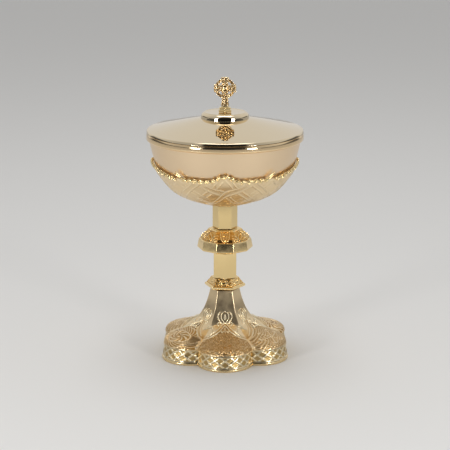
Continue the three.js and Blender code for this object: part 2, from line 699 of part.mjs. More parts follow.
function add(name, geometry, look) {
  const mesh = new THREE.Mesh(geometry, new THREE.MeshStandardMaterial(finish[look]));
  mesh.name = name;
  ciborium.add(mesh);
  return mesh;
}

add('foot_rim', footRim(), 'polishedGold');
add('foot_gallery', footGallery(), 'castGold');
add('foot_shell', footShell(), 'satinGold');
add('foot_plate', footPlate(), 'plainBrass');
add('foot_nut', footNut(), 'steel');
add('tie_rod', tieRod(), 'steel');
add('collar', collar(), 'castGold').rotation.z = THREE.MathUtils.degToRad(COLLAR_TURN);
add('lower_stem', stemTube(hexagonCornerFront(LOWER_STEM_RADIUS), lowerStemFoot, LOWER_STEM_HEIGHT), 'polishedGold');
add('knop', knop(), 'castGold');
add('upper_stem', stemTube(hexagonFaceFront(UPPER_STEM_RADIUS), upperStemFoot, UPPER_STEM_HEIGHT), 'polishedGold');
add('bowl_boss', bowlBoss(), 'plainBrass');
add('calyx', calyx(), 'castGold');
add('bowl', bowl(), 'satinGold');
add('lid_rim', lidRim(), 'polishedGold');
add('lid_bezel', lidBezel(), 'polishedGold');
add('lid_dome', lidDome(), 'satinGold');
add('lid_knob', lidKnob(), 'polishedGold');
add('lid_washer', lidWasher(), 'plainBrass');
add('lid_nut', nut(LID_NUT_RADIUS, TANG_RADIUS + BORE_PLAY, lidNutFoot(), LID_NUT_HEIGHT), 'steel');
add('cross_base', crossBase(), 'castGold');
add('cross', cross(), 'castGold');

export default ciborium;
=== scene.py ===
# %% [markdown]
# A covered ciborium, dressed round its CAD frame. The vessel is gilt metal throughout, so its looks come
# from three things: how smooth each surface is, how warm its gold is, and how deep its relief is cut.
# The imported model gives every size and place. The script starts by loading it.

# %% Load the frame
import math
import bmesh
import bpy
import numpy as np
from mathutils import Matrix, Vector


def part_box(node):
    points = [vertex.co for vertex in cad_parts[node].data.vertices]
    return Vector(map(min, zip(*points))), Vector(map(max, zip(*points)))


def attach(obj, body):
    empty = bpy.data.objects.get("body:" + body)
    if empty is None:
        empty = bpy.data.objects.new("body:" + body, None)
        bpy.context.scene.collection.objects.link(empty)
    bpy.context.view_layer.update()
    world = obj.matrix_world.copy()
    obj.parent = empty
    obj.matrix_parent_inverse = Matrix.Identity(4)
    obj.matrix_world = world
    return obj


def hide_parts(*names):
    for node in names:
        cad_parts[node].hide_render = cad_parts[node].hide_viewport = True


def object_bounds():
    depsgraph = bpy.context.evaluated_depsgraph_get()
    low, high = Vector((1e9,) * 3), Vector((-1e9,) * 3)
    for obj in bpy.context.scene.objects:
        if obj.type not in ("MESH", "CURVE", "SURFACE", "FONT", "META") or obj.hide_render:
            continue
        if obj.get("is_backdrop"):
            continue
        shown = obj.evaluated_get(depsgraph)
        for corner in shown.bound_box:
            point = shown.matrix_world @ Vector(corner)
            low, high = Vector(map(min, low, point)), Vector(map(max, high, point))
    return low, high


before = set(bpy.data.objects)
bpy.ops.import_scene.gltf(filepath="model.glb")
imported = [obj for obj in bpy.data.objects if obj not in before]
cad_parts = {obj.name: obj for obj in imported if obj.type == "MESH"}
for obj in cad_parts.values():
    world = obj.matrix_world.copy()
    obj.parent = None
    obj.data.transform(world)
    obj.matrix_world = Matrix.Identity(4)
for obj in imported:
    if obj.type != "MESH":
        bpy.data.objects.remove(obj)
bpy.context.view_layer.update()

MM = 0.001
CLEARANCE = 0.3  # gap between neighbouring pieces, in millimetres like all sizes in this script

# %% [markdown]
# Nearly every piece is a ring of points carried up a profile, round or polygonal. Such a skin is a grid, so
# one helper turns any grid of rings into a closed mesh. Points that fall together on the axis are merged,
# and the normals are made to face outwards before anything is built on them. Each point keeps the height of
# its relief, from 0 in the hollows to 1 on top, for the finish.

# %% Meshes from rings of points
SHARP_EDGE = math.radians(38)
MERGE_DISTANCE = 1e-7


def add_object(name, data):
    """A new object at the origin, in the scene."""
    made = bpy.data.objects.new(name, data)
    bpy.context.scene.collection.objects.link(made)
    return made


def set_relief(mesh, heights):
    """Keeps a relief height on each point of a mesh."""
    values = np.asarray(heights, float).ravel()
    mesh.attributes.new("relief", "FLOAT", "POINT").data.foreach_set("value", values)


def add_mesh(name, points, faces, relief=None):
    """A new piece from points in metres. Without a relief it counts as smooth, which is all on top."""
    mesh = bpy.data.meshes.new(name)
    mesh.from_pydata(np.asarray(points, float).tolist(), [], [list(face) for face in faces])
    set_relief(mesh, np.ones(len(mesh.vertices)) if relief is None else relief)
    return add_object(name, mesh)


def close_up(piece):
    """Merges doubles, turns the faces outwards, and shades the piece smooth between its sharp edges."""
    work = bmesh.new()
    work.from_mesh(piece.data)
    bmesh.ops.remove_doubles(work, verts=work.verts, dist=MERGE_DISTANCE)
    bmesh.ops.recalc_face_normals(work, faces=work.faces)
    work.to_mesh(piece.data)
    work.free()
    piece.data.shade_smooth()
    piece.data.set_sharp_from_angle(angle=SHARP_EDGE)
    return piece


def ring_faces(rows, columns, closed):
    """Quads between neighbouring rings. closed joins the last ring to the first one."""
    i, j = np.meshgrid(np.arange(rows if closed else rows - 1), np.arange(columns), indexing="ij")
    up, along = (i + 1) % rows, (j + 1) % columns
    corners = [i * columns + j, i * columns + along, up * columns + along, up * columns + j]
    return np.stack(corners, -1).reshape(-1, 4)


def skin(name, grid, closed=True, relief=None):
    """A piece from a grid of points in millimetres, rings x points of a ring x 3."""
    rows, columns, _ = grid.shape
    return close_up(add_mesh(name, grid.reshape(-1, 3) * MM, ring_faces(rows, columns, closed), relief))


def box_mm(node):
    """Lowest and highest corner of a CAD node, in millimetres."""
    low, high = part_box(node)
    return np.array(low) / MM, np.array(high) / MM


def keep(piece, body, slot, material, *nodes):
    """Gives a finished piece its material, its body and the CAD nodes that it stands for."""
    piece.data.materials.clear()
    piece.data.materials.append(material)
    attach(piece, body)
    if nodes:
        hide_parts(*nodes)
    print(piece.name, "rides on", body, "with", len(piece.data.polygons), "faces")


# %% [markdown]
# Profiles are lists of points, radius and height in millimetres. Metal has no knife edges, so a helper
# rounds each corner of a profile with a small arc, which is what catches the light along an edge. Where a
# profile only has to pass through some points, a smooth curve takes its place.

# %% Profiles with rounded corners
CORNER_RADIUS, CORNER_STEPS = 0.3, 4
ROUND_STEPS = 240


def rounded(profile, closed=True):
    """The profile with an arc at each corner. A corner's third number, if it has one, is the arc's radius."""
    points = np.array([p[:2] for p in profile], float)
    radii = [p[2] if len(p) > 2 else CORNER_RADIUS for p in profile]
    made = []
    count = len(points)
    for i, corner in enumerate(points):
        if not closed and i in (0, count - 1):
            made.append(corner)
            continue
        back, ahead = points[i - 1] - corner, points[(i + 1) % count] - corner
        reach = min(radii[i], 0.45 * np.linalg.norm(back), 0.45 * np.linalg.norm(ahead))
        start = corner + back / (np.linalg.norm(back) + 1e-12) * reach
        end = corner + ahead / (np.linalg.norm(ahead) + 1e-12) * reach
        if reach < 1e-4:
            made.append(corner)
            continue
        for t in np.linspace(0, 1, CORNER_STEPS + 1):
            made.append((1 - t) ** 2 * start + 2 * t * (1 - t) * corner + t * t * end)
    return np.array(made)


def smooth_line(points, count):
    """A smooth curve through the points (Catmull-Rom), evenly spread over count steps of its length."""
    p = np.asarray(points, float)
    padded = np.vstack([2 * p[0] - p[1], p, 2 * p[-1] - p[-2]])
    parts = []
    for a, b, c, d in zip(padded, padded[1:], padded[2:], padded[3:]):
        t = np.linspace(0, 1, 24, endpoint=False)[:, None]
        parts.append(0.5 * (
            2 * b + (c - a) * t + (2 * a - 5 * b + 4 * c - d) * t**2 + (3 * b - a - 3 * c + d) * t**3))
    line = np.vstack([*parts, p[-1:]])
    run = np.concatenate([[0], np.cumsum(np.linalg.norm(np.diff(line, axis=0), axis=1))])
    stops = np.linspace(0, run[-1], count)
    return np.stack([np.interp(stops, run, line[:, k]) for k in range(line.shape[1])], -1)


def offset_line(line, distance):
    """The line moved sideways, to its outer side for a positive distance."""
    along = np.gradient(line, axis=0)
    along /= np.linalg.norm(along, axis=1)[:, None]
    return line + distance * np.stack([along[:, 1], -along[:, 0]], -1)


def turn(angles, radii, heights):
    """A grid of rings from arrays of radius (rows x columns) and height (rows, or rows x columns)."""
    radii = np.asarray(radii, float)
    heights = np.broadcast_to(np.asarray(heights, float).reshape(len(radii), -1), radii.shape)
    return np.stack([radii * np.cos(angles), radii * np.sin(angles), heights], -1)


def even_angles(count):
    return np.arange(count) * 2 * math.pi / count


def lathe(name, profile, closed=True):
    """A round piece from a profile that is closed, or that starts and ends on the axis."""
    radii = np.repeat(profile[:, :1], ROUND_STEPS, 1)
    return skin(name, turn(even_angles(ROUND_STEPS), radii, profile[:, 1]), closed)


def ring_skin(name, angles, rings):
    """A piece from rings of reach, height and relief, each a number or one value for each direction."""
    rows = [np.broadcast_arrays(angles, *ring)[1:] for ring in rings]
    reach, height, relief = (np.array(values) for values in zip(*rows))
    return skin(name, turn(angles, reach, height), relief=relief)


print("a rounded square has", len(rounded([(0, 0), (9, 0), (9, 9), (0, 9)])), "points")

# %% [markdown]
# The faceted pieces are polygons whose corners are rounded by a fraction of a millimetre. The radius of
# such a polygon in any direction has a formula, so a hexagon can go through the same skin as a circle.

# %% Polygons with rounded corners
HEXAGON = 6
FACE_FRONT = 0.0  # direction of a hexagon's first corner when a face is in front
CORNER_FRONT = math.pi / 6
FRONT = -math.pi / 2
facet_angles = even_angles(360)
fine_angles = even_angles(720)


def polygon(angles, sides, corner, first_corner, rounding=0.35):
    """Radius in the given directions of a regular polygon with one corner at first_corner."""
    sector = 2 * math.pi / sides
    off_corner = np.abs((angles - first_corner + sector / 2) % sector - sector / 2)
    flat = corner * math.cos(sector / 2) / np.cos(sector / 2 - off_corner)
    centre = corner - rounding / math.cos(sector / 2)
    inside = rounding**2 - (centre * np.sin(off_corner)) ** 2
    arc = centre * np.cos(off_corner) + np.sqrt(np.maximum(inside, 0))
    touches = np.arctan2(rounding * math.sin(sector / 2), centre + rounding * math.cos(sector / 2))
    return np.where(off_corner < touches, arc, flat)


def plain_rings(angles, profile, sides, first_corner, rounding=0.35):
    """Uncarved polygonal rings from a profile of corner radius and height."""
    return [
        (polygon(angles, sides, corner, first_corner, rounding), height, 1.0) for corner, height in profile]


def face_place(angles, sides, first_corner):
    """Place on a polygon's face, from -1 to 1, and the number of the face."""
    sector = 2 * math.pi / sides
    turned_angle = (angles - first_corner) % (2 * math.pi)
    return (turned_angle % sector) / sector * 2 - 1, np.floor(turned_angle / sector).astype(int) % sides


print("a hexagon with corners at 10 has faces at", polygon(CORNER_FRONT, HEXAGON, 10, FACE_FRONT).round(2))

# %% [markdown]
# Node trees are built with one helper that makes a node, gives it its settings and then its inputs, so a
# tree reads from top to bottom as a list of nodes.

# %% Nodes


def set_inputs(tree, node, inputs):
    """Gives a node's input sockets their values. A value that is another node's output is linked."""
    for key, value in inputs.items():
        if isinstance(value, bpy.types.NodeSocket):
            tree.links.new(value, node.inputs[key])
        else:
            node.inputs[key].default_value = value


def add_node(tree, kind, inputs=None, **settings):
    """A node with its settings and with its inputs, by name or by number."""
    node = tree.nodes.new(kind)
    for key, value in settings.items():
        setattr(node, key, value)
    set_inputs(tree, node, inputs or {})
    return node


def add_math(tree, operation, first, second=0.0):
    return add_node(tree, "ShaderNodeMath", {0: first, 1: second}, operation=operation).outputs["Value"]


def add_range(tree, value, low, high, from_low=0.35, from_high=0.65):
    """Carries a value between from_low and from_high over to low and high."""
    names = ("Value", "From Min", "From Max", "To Min", "To Max")
    inputs = dict(zip(names, (value, from_low, from_high, low, high)))
    return add_node(tree, "ShaderNodeMapRange", inputs).outputs["Result"]


def add_noise(tree, scale, detail=3.0):
    """Noise on the object's own coordinates."""
    place = add_node(tree, "ShaderNodeTexCoord").outputs["Object"]
    noise = add_node(tree, "ShaderNodeTexNoise", {"Vector": place, "Scale": scale, "Detail": detail})
    return noise.outputs["Fac"]


print("helpers for nodes:", [helper.__name__ for helper in (add_node, add_math, add_range, add_noise)])

# %% [markdown]
# Gold. On the real vessel one plating gives several looks: the lid is polished like a mirror, the cup is
# drawn through a fine brush, the stem is buffed and the cast pieces keep a warm, slightly rough skin with
# darker hollows. Each is a Principled shader with full metal, a colour that goes deeper in clouds or in the
# hollows of the relief, a roughness that varies with handling, and a very fine bump.

# %% Materials
CLOUDS, HANDLING, GRAIN = 28, 160, 2600  # scales of the three noises, coarse to fine
GRAIN_DEPTH = 0.04 * MM
HOLLOW_RELIEF = 0.75  # relief height from which the colour is the upper one


def new_material(name, inputs):
    """A material whose Principled shader has those inputs, and its tree and shader."""
    material = bpy.data.materials.new(name)
    material.use_nodes = True
    shader = material.node_tree.nodes["Principled BSDF"]
    set_inputs(material.node_tree, shader, inputs)
    return material, material.node_tree, shader


def gilt(name, colour, deep_colour, roughness, bump, hollows=False):
    """Metal. roughness is a pair, the polished and the handled value. With hollows the relief is toned."""
    material, tree, shader = new_material(name, {"Metallic": 1.0})
    if hollows:
        relief = add_node(tree, "ShaderNodeAttribute", attribute_name="relief")
        depth = add_range(tree, relief.outputs["Fac"], 1.0, 0.0, 0.0, HOLLOW_RELIEF)
    else:
        depth = add_range(tree, add_noise(tree, CLOUDS), 0.0, 0.35)
    mix = add_node(tree, "ShaderNodeMix", {
        "Factor": depth, "A": (*colour, 1), "B": (*deep_colour, 1)}, data_type="RGBA")
    grain = add_node(tree, "ShaderNodeBump", {
        "Strength": bump, "Distance": GRAIN_DEPTH, "Height": add_noise(tree, GRAIN, 2.0)})
    set_inputs(tree, shader, {
        "Base Color": mix.outputs["Result"], "Normal": grain.outputs["Normal"],
        "Roughness": add_range(tree, add_noise(tree, HANDLING, 4.0), *roughness)})
    return material


satin_gold = gilt("satin_gold", (0.86, 0.67, 0.45), (0.84, 0.65, 0.43), (0.30, 0.32), 0.0)
mirror_gold = gilt("mirror_gold", (0.86, 0.72, 0.50), (0.84, 0.69, 0.46), (0.02, 0.045), 0.02)
rim_gold = gilt("rim_gold", (0.94, 0.72, 0.44), (0.90, 0.67, 0.39), (0.07, 0.11), 0.04)
stem_gold = gilt("stem_gold", (0.86, 0.66, 0.33), (0.83, 0.62, 0.29), (0.10, 0.17), 0.08)
cast_gold = gilt("cast_gold", (0.97, 0.74, 0.38), (0.76, 0.44, 0.13), (0.18, 0.26), 0.12, hollows=True)
foot_gold = gilt("foot_gold", (0.85, 0.67, 0.38), (0.80, 0.60, 0.31), (0.22, 0.30), 0.10)
lattice_gold = gilt("lattice_gold", (0.98, 0.86, 0.60), (0.56, 0.38, 0.15), (0.28, 0.34), 0.05, hollows=True)
carved_gold = gilt("carved_gold", (0.90, 0.71, 0.44), (0.47, 0.25, 0.06), (0.28, 0.36), 0.15, hollows=True)
# The strands' pale cream colour is a painted highlight, so that they read as bright lines from every side.
strand_highlight_gold = gilt("strand_highlight_gold", (0.97, 0.86, 0.62), (0.95, 0.83, 0.58), (0.36, 0.42), 0.05)
calyx_gold = gilt("calyx_gold", (0.93, 0.75, 0.48), (0.66, 0.41, 0.14), (0.28, 0.34), 0.08, hollows=True)
crest_gold = gilt("crest_gold", (0.95, 0.76, 0.42), (0.90, 0.68, 0.32), (0.09, 0.15), 0.05)
cross_gold = gilt("cross_gold", (0.86, 0.67, 0.40), (0.38, 0.19, 0.04), (0.15, 0.22), 0.05, hollows=True)
plain_brass = gilt("plain_brass", (0.66, 0.48, 0.22), (0.52, 0.36, 0.15), (0.30, 0.45), 0.6)
plain_steel = gilt("plain_steel", (0.46, 0.46, 0.45), (0.32, 0.32, 0.32), (0.28, 0.42), 0.6)
print("materials:", len(bpy.data.materials))

# %% [markdown]
# The cup is spun from sheet. Its wall is a single smooth curve from the middle of the floor to the rim,
# given as shares of its radius and height, so it follows the CAD cup's box.

# %% Cup
bowl_low, bowl_high = box_mm("bowl")
cup_radius, cup_foot, cup_height = bowl_high[0], bowl_low[2], bowl_high[2] - bowl_low[2]
CUP_WALL = 1.2
CUP_SHARES = [
    (0, 0), (0.15, 0.002), (0.289, 0.038), (0.42, 0.088), (0.553, 0.146), (0.658, 0.212), (0.747, 0.302),
    (0.825, 0.419), (0.879, 0.503), (0.911, 0.593), (0.937, 0.696), (0.965, 0.823), (1, 1),
]
cup_line = smooth_line([(x * cup_radius, cup_foot + y * cup_height) for x, y in CUP_SHARES], 400)
cup_run = np.linspace(0, 1, len(cup_line))  # share of the wall's length at each of its points
cup_outside = cup_line[::8]
cup_inside = offset_line(cup_line, -CUP_WALL)[::8]
cup_inside[0] = (0, cup_foot + CUP_WALL)
cup_lip = [
    (cup_radius, cup_foot + cup_height - 0.3), (cup_radius - 0.15, cup_foot + cup_height),
    (cup_radius - CUP_WALL + 0.2, cup_foot + cup_height),
]
cup = lathe("cup", np.vstack([cup_outside[:-1], cup_lip, cup_inside[-2::-1]]), closed=False)
keep(cup, "vessel", "satin_gilt", satin_gold, "bowl")

# %% [markdown]
# The lid rests on the cup with a polished band that leans in a little towards its top. A ledge inside the
# band carries the locating ring.

# %% Edge band of the lid
rim_low, rim_high = box_mm("lid_rim")
dome_low, dome_high = box_mm("lid_dome")
knob_high = box_mm("lid_knob")[1]
lid_radius, knob_radius = rim_high[0], knob_high[0]
LID_WALL, TANG_HOLE = 1.2, 1.8
rim_ledge = box_mm("lid_bezel")[1][0] + CLEARANCE
rim_profile = rounded([
    (rim_ledge, rim_low[2]), (lid_radius - 1.2, rim_low[2], 0.3), (lid_radius - 0.3, rim_low[2] + 0.5, 0.4),
    (lid_radius, rim_low[2] + 1.1, 0.5), (lid_radius - 0.15, rim_low[2] + 4.4, 0.9),
    (lid_radius - 0.8, rim_high[2] - 0.2, 0.2), (lid_radius - 1.5, rim_high[2], 0.2),
    (lid_radius - 2.4, rim_low[2] + 1.8, 0.4), (rim_ledge, rim_low[2] + 1.8),
])
lid_rim = lathe("lid_edge_band", rim_profile)
keep(lid_rim, "lid", "mirror_gilt", rim_gold, "lid_rim")

# %% [markdown]
# On the band stands a low spun cone, almost straight, with a rolled edge and a short skirt.

# %% Cone of the lid
dome_edge = lid_radius - 0.3
DOME_ROLL, ROLL_HEIGHT = 1.7, 1.5  # the edge's rounded part, inwards and downwards
SKIRT = 0.9  # the plain strip under the roll
DOME_CROWN = 0.2  # how far the cone swells over a straight line
CONE_START = knob_radius + 0.75
roll_start = dome_edge - DOME_ROLL
share = np.linspace(0, 1, 48)
cone_fall = share * (dome_high[2] - dome_low[2] - ROLL_HEIGHT - SKIRT) - DOME_CROWN * np.sin(math.pi * share)
cone_line = np.stack([CONE_START + share * (roll_start - CONE_START), dome_high[2] - cone_fall], -1)
roll_angle = np.radians(np.linspace(4, 52, 14))
roll_line = np.stack([
    roll_start + DOME_ROLL * np.sin(roll_angle), dome_low[2] + SKIRT + ROLL_HEIGHT * np.cos(roll_angle)], -1)
outer_line = np.vstack([cone_line, roll_line, [(dome_edge, dome_low[2])]])
inner_line = offset_line(outer_line, LID_WALL)
dome_profile = np.vstack([
    [(TANG_HOLE, dome_high[2])], outer_line, [(dome_edge - LID_WALL, dome_low[2])],
    inner_line[-2::-1], [(TANG_HOLE, dome_high[2] - LID_WALL)],
])
lid_dome = lathe("lid_cone", dome_profile)
keep(lid_dome, "lid", "mirror_gilt", mirror_gold, "lid_dome")

# %% [markdown]
# On the cone, under the cross, sits a polished disc shaped like a flat bun, with a shallow dish in its top.
# Its side is given as steps outwards from the CAD disc's radius and down from its top.

# %% Disc of the lid
DISC_SIDE = [(0.75, 5.66), (0.56, 4.2), (0.36, 2.8), (-0.15, 1.8), (-1.1, 0.9), (-2.2, 0.5)]
knob_foot, knob_top = dome_high[2] + 0.02, knob_high[2]
disc_side = smooth_line([(knob_radius + out, knob_top - down) for out, down in DISC_SIDE], 22)
disc_top = rounded([
    tuple(disc_side[-1]), (knob_radius - 2.5, knob_top, 0.25), (knob_radius - 3.4, knob_top, 0.2),
    (knob_radius - 3.9, knob_top - 0.25, 0.2), (TANG_HOLE, knob_top - 0.25)], closed=False)
knob_profile = np.vstack([[(TANG_HOLE, knob_foot), (disc_side[0, 0], knob_foot)], disc_side, disc_top[1:]])
lid_knob = lathe("lid_disc", knob_profile)
keep(lid_knob, "lid", "mirror_gilt", mirror_gold, "lid_knob")

# %% [markdown]
# The stem is two hexagonal tubes with a ten-sided knop between them, over a hexagonal collar, all clamped
# on a rod. Each is turned its own way, as in the photograph: the upper tube shows a face, the lower one a
# corner. The tubes come first.

# %% Stem tubes
STEM_BORE = 8.6
for node, first_corner in (("lower_stem", CORNER_FRONT), ("upper_stem", FACE_FRONT)):
    low, high = box_mm(node)
    corner = max(high[0], high[1])
    profile = rounded([
        (STEM_BORE, low[2]), (corner, low[2], 0.2), (corner, high[2], 0.2), (STEM_BORE, high[2])])
    tube = ring_skin(node + "_tube", facet_angles, plain_rings(facet_angles, profile, HEXAGON, first_corner))
    keep(tube, "vessel", "stem_gilt", stem_gold, node)

# %% [markdown]
# The foot stands on an outline of six lobes, each an arc round a centre that lies off the axis. Angles are
# measured from a lobe's middle, so the plain strip, the lattice band and the cushion share one outline.

# %% Foot outline and the plain strip
foot_reach = box_mm("foot_rim")[1][1]
LOBES = 6
LOBE_CENTRE = 37.5
SECTOR = 2 * math.pi / LOBES
lobe_radius = foot_reach - LOBE_CENTRE


def lobe_outline(across):
    """Reach of the outline in directions measured from a lobe's middle, up to half a sector."""
    return LOBE_CENTRE * np.cos(across) + np.sqrt(lobe_radius**2 - (LOBE_CENTRE * np.sin(across)) ** 2)


def lobe_angles(steps):
    """Directions from one valley to the next, at even steps along the lobe's arc."""
    swing = math.acos(LOBE_CENTRE * math.sin(SECTOR / 2) / lobe_radius) + SECTOR / 2
    turn_angle = np.linspace(-swing, swing, steps + 1)
    return np.arctan2(lobe_radius * np.sin(turn_angle), LOBE_CENTRE + lobe_radius * np.cos(turn_angle))


def round_the_foot(across):
    """The same directions on all the lobes, without the doubled valleys, and their angles round the axis."""
    once = across[:-1]
    return np.tile(once, LOBES), np.concatenate([FRONT + lobe * SECTOR + once for lobe in range(LOBES)])


RIM_LAND = 5.0
rim_across, rim_angles = round_the_foot(lobe_angles(80))
strip_low, strip_high = box_mm("foot_rim")
strip_profile = rounded([  # distance inwards from the outline, and height
    (RIM_LAND, strip_low[2]), (0.5, strip_low[2], 0.4), (0, strip_low[2] + 0.9, 0.7),
    (0, strip_high[2] - 0.8, 0.7), (0.8, strip_high[2], 0.4), (RIM_LAND, strip_high[2]),
])
strip_rings = [(lobe_outline(rim_across) - inset, height, 1.0) for inset, height in strip_profile]
foot_strip = ring_skin("foot_strip", rim_angles, strip_rings)
keep(foot_strip, "vessel", "foot_gilt", foot_gold, "foot_rim")
print("foot reach", round(float(foot_reach), 1), "lobe radius", round(float(lobe_radius), 1))

# %% [markdown]
# The lattice band. Two families of strands cross on it, seven lozenges to a lobe. A strand is a raised line
# with a groove down its middle, and it goes over and under the strands that it meets. The band is a fine
# skin, and each of its points is moved by the height that this rule gives.

# %% Lattice band
LOZENGES_PER_LOBE, LOZENGE_ROWS = 7, 1.5
GALLERY_STEP, GALLERY_LEAN, GALLERY_WALL = 0.6, 2.2, 1.7  # all inwards: at its foot, up to its top, its wall
LATTICE_RELIEF, LATTICE_STRAND, LATTICE_EDGE = 0.8, 0.155, 0.07


def ridge(distance, half_width):
    """A rounded ridge: 1 on its middle line, 0 from half_width outwards."""
    return np.clip(1 - (distance / half_width) ** 2, 0, 1)


def double_ridge(distance, half_width):
    """A strand with a groove along its middle."""
    body = np.clip((half_width - distance) / (0.35 * half_width), 0, 1)
    groove = np.clip(1 - distance / (0.36 * half_width), 0, 1)
    return body * (1 - 0.55 * groove)


def weave(u, v, half_width):
    """Height of a plain weave of two diagonal families of strands, with one crossing at each whole u."""
    first, second = u - v, u + v
    heights = []
    for here, other, sign in ((first, second, 1), (second, first, -1)):
        number = np.round(here)
        over = sign * np.cos(math.pi * (number + other))
        heights.append(double_ridge(np.abs(here - number), half_width) * (0.78 + 0.22 * over))
    return np.maximum(*heights)


band_low, band_high = box_mm("foot_gallery")
band_columns = lobe_angles(LOZENGES_PER_LOBE * 14)
band_across, band_angles = round_the_foot(band_columns)
band_reach = lobe_outline(band_across) - GALLERY_STEP
lozenge = np.tile(np.linspace(-LOZENGES_PER_LOBE / 2, LOZENGES_PER_LOBE / 2, len(band_columns))[:-1], LOBES)
band_rings = []
for up in np.linspace(0, 1, 34):
    relief = weave(lozenge, LOZENGE_ROWS * up, LATTICE_STRAND)
    relief = np.maximum(relief, max(ridge(up, LATTICE_EDGE), ridge(1 - up, LATTICE_EDGE)))
    inset = GALLERY_LEAN * up**1.5 + LATTICE_RELIEF * (1 - relief)
    band_rings.append((band_reach - inset, band_low[2] + up * (band_high[2] - band_low[2]), relief))
for height in (band_high[2], band_low[2]):
    band_rings.append((band_reach - GALLERY_LEAN - GALLERY_WALL, height, 1.0))
lattice_band = ring_skin("lattice_band", band_angles, band_rings)
keep(lattice_band, "vessel", "cast_gilt", lattice_gold, "foot_gallery")

# %% [markdown]
# The cushion and the neck are one casting. Its levels are given as in a loft: share of the height, reach on
# a lobe's middle and reach in the valley. Between them each level is part lobed outline, part hexagon.

# %% Foot shell, smooth form
shell_low, shell_high = box_mm("foot_shell")
shell_height = shell_high[2] - shell_low[2]
SHELL_WALL = 1.6
SHELL_LEVELS = [
    (0, 0.955, 0.765), (0.02, 0.966, 0.793), (0.07, 0.953, 0.806), (0.112, 0.921, 0.768),
    (0.141, 0.840, 0.708), (0.182, 0.755, 0.630), (0.233, 0.649, 0.549), (0.292, 0.547, 0.473),
    (0.349, 0.433, 0.434), (0.414, 0.353, 0.401), (0.536, 0.293, 0.339), (0.62, 0.263, 0.304),
    (0.784, 0.223, 0.257), (1, 0.185, 0.213),
]
FLAT_SHARE = math.cos(SECTOR / 2)
CORNER_POWER = 70  # the higher it is, the sharper are the neck's corners
shell_line = smooth_line([
    (shell_low[2] + share * shell_height, tip * foot_reach, valley * foot_reach)
    for share, tip, valley in SHELL_LEVELS], 600)
shell_line[:, 0] = np.maximum.accumulate(shell_line[:, 0])
valley_reach = float(lobe_outline(SECTOR / 2))


def shell_reach(across, tip, valley):
    """Reach of the shell in the given directions, on a level with that tip and valley."""
    lobe_share = (tip / valley - FLAT_SHARE) / (foot_reach / valley_reach - FLAT_SHARE)
    lobed = lobe_outline(across) * valley / valley_reach
    next_face = np.cos(SECTOR - np.abs(across))
    sharpness = np.cos(across) ** CORNER_POWER + next_face**CORNER_POWER
    neck = valley * FLAT_SHARE / sharpness ** (1 / CORNER_POWER)
    return lobe_share * lobed + (1 - lobe_share) * neck


def shell_point(across_mm, height):
    """The point of the front face that lies so far to the right and so high, in millimetres."""
    tip, valley = (np.interp(height, shell_line[:, 0], shell_line[:, k]) for k in (1, 2))
    angle = across_mm / tip
    for _ in range(12):
        angle = math.asin(across_mm / shell_reach(angle, tip, valley))
    reach = shell_reach(angle, tip, valley)
    return np.array([across_mm, -reach * math.cos(angle), height])


print("neck corner", round(float(shell_line[-1, 2]), 1), "mm")

# %% [markdown]
# The lobes' fields carry carved ornament of three kinds, each on two lobes: an interlace that fills the
# field, a whorl of comma leaves and a leafy rosette. Each is a rule that gives the height of the relief from
# a place on the lobe, across and outwards in millimetres. A raised border runs round the field, and above it
# the surface is darker beside the arch that springs there.

# %% Ornament of the lobes
FIELD_REACH = 62.0  # how far outwards the cushion's surface would reach if it were laid flat
FIELD_MIDDLE = 46.0  # the ornament's middle on that flat surface
CARVING_DEPTH, BORDER_HEIGHT = 0.55, 0.15
ARCH_FOOT = [(0, 24.0), (1.4, 25.3), (5, 30.6), (9.8, 35.2), (14.8, 36.4), (22, 35.0)]  # across, outwards
NECK_FROM = 18  # nearer to the axis than this it is the neck
NECK_TONING, ARCH_TONING, ARCH_TONING_WIDTH = 0.33, 0.8, 6.5


def polar(across, out, squeeze):
    """Place on a lobe as distance and direction from the ornament's middle, squeezed sideways."""
    x, y = across / squeeze, out - FIELD_MIDDLE
    return np.hypot(x, y) + 1e-6, np.arctan2(y, x)


def knot_relief(across, out):
    """An interlace of wandering strands that fills the field."""
    x, y = across + 1.2 * np.sin(0.75 * out), out + 0.9 * np.sin(0.8 * across)
    return weave(x / 3.3, y / 2.7, 0.23)


def whorl_relief(across, out):
    """Comma leaves that turn round a boss, and smaller ones that turn outside a ring."""
    radius, angle = polar(across, out, 1.35)
    leaves = np.clip(np.cos(8 * angle - 9.0 * np.log(radius / 2)) * 1.6, 0, 1)
    leaves *= np.clip((8.4 - radius) / 0.8, 0, 1) * np.clip((radius - 2.0) / 0.8, 0, 1)
    outer = np.clip(np.cos(26 * angle + 2.3 * radius) * 1.5, 0, 1) * (radius > 9.6) * (radius < 22)
    rings = np.maximum(ridge(np.abs(radius - 9.0), 0.7), ridge(np.abs(radius - 15.8), 0.6))
    return np.maximum.reduce([leaves, 0.9 * outer, ridge(radius, 1.6), rings])


def rosette_relief(across, out):
    """Pointed leaves with ribs, laid over crossing bands."""
    radius, angle = polar(across, out, 1.3)
    reach = 11.0 * np.abs(np.cos(3 * angle)) ** 0.5
    off_rib = np.abs((angle + math.pi / 6) % (math.pi / 3) - math.pi / 6)
    ribs = np.clip(np.cos(2.6 * radius - 9 * off_rib) * 1.4, 0, 1)
    inside = np.clip((reach - radius) / 0.7, 0, 1)
    middle_rib = ridge(off_rib * radius, 0.6)
    plait = weave(across / 3.3, out / 2.8, 0.24) * np.clip((radius - reach - 0.8) / 0.5, 0, 1)
    outline = ridge(np.abs(radius - reach), 0.8) * (radius > 1.6)
    return np.maximum.reduce([0.8 * ribs * inside, outline, middle_rib * inside, 0.9 * plait])


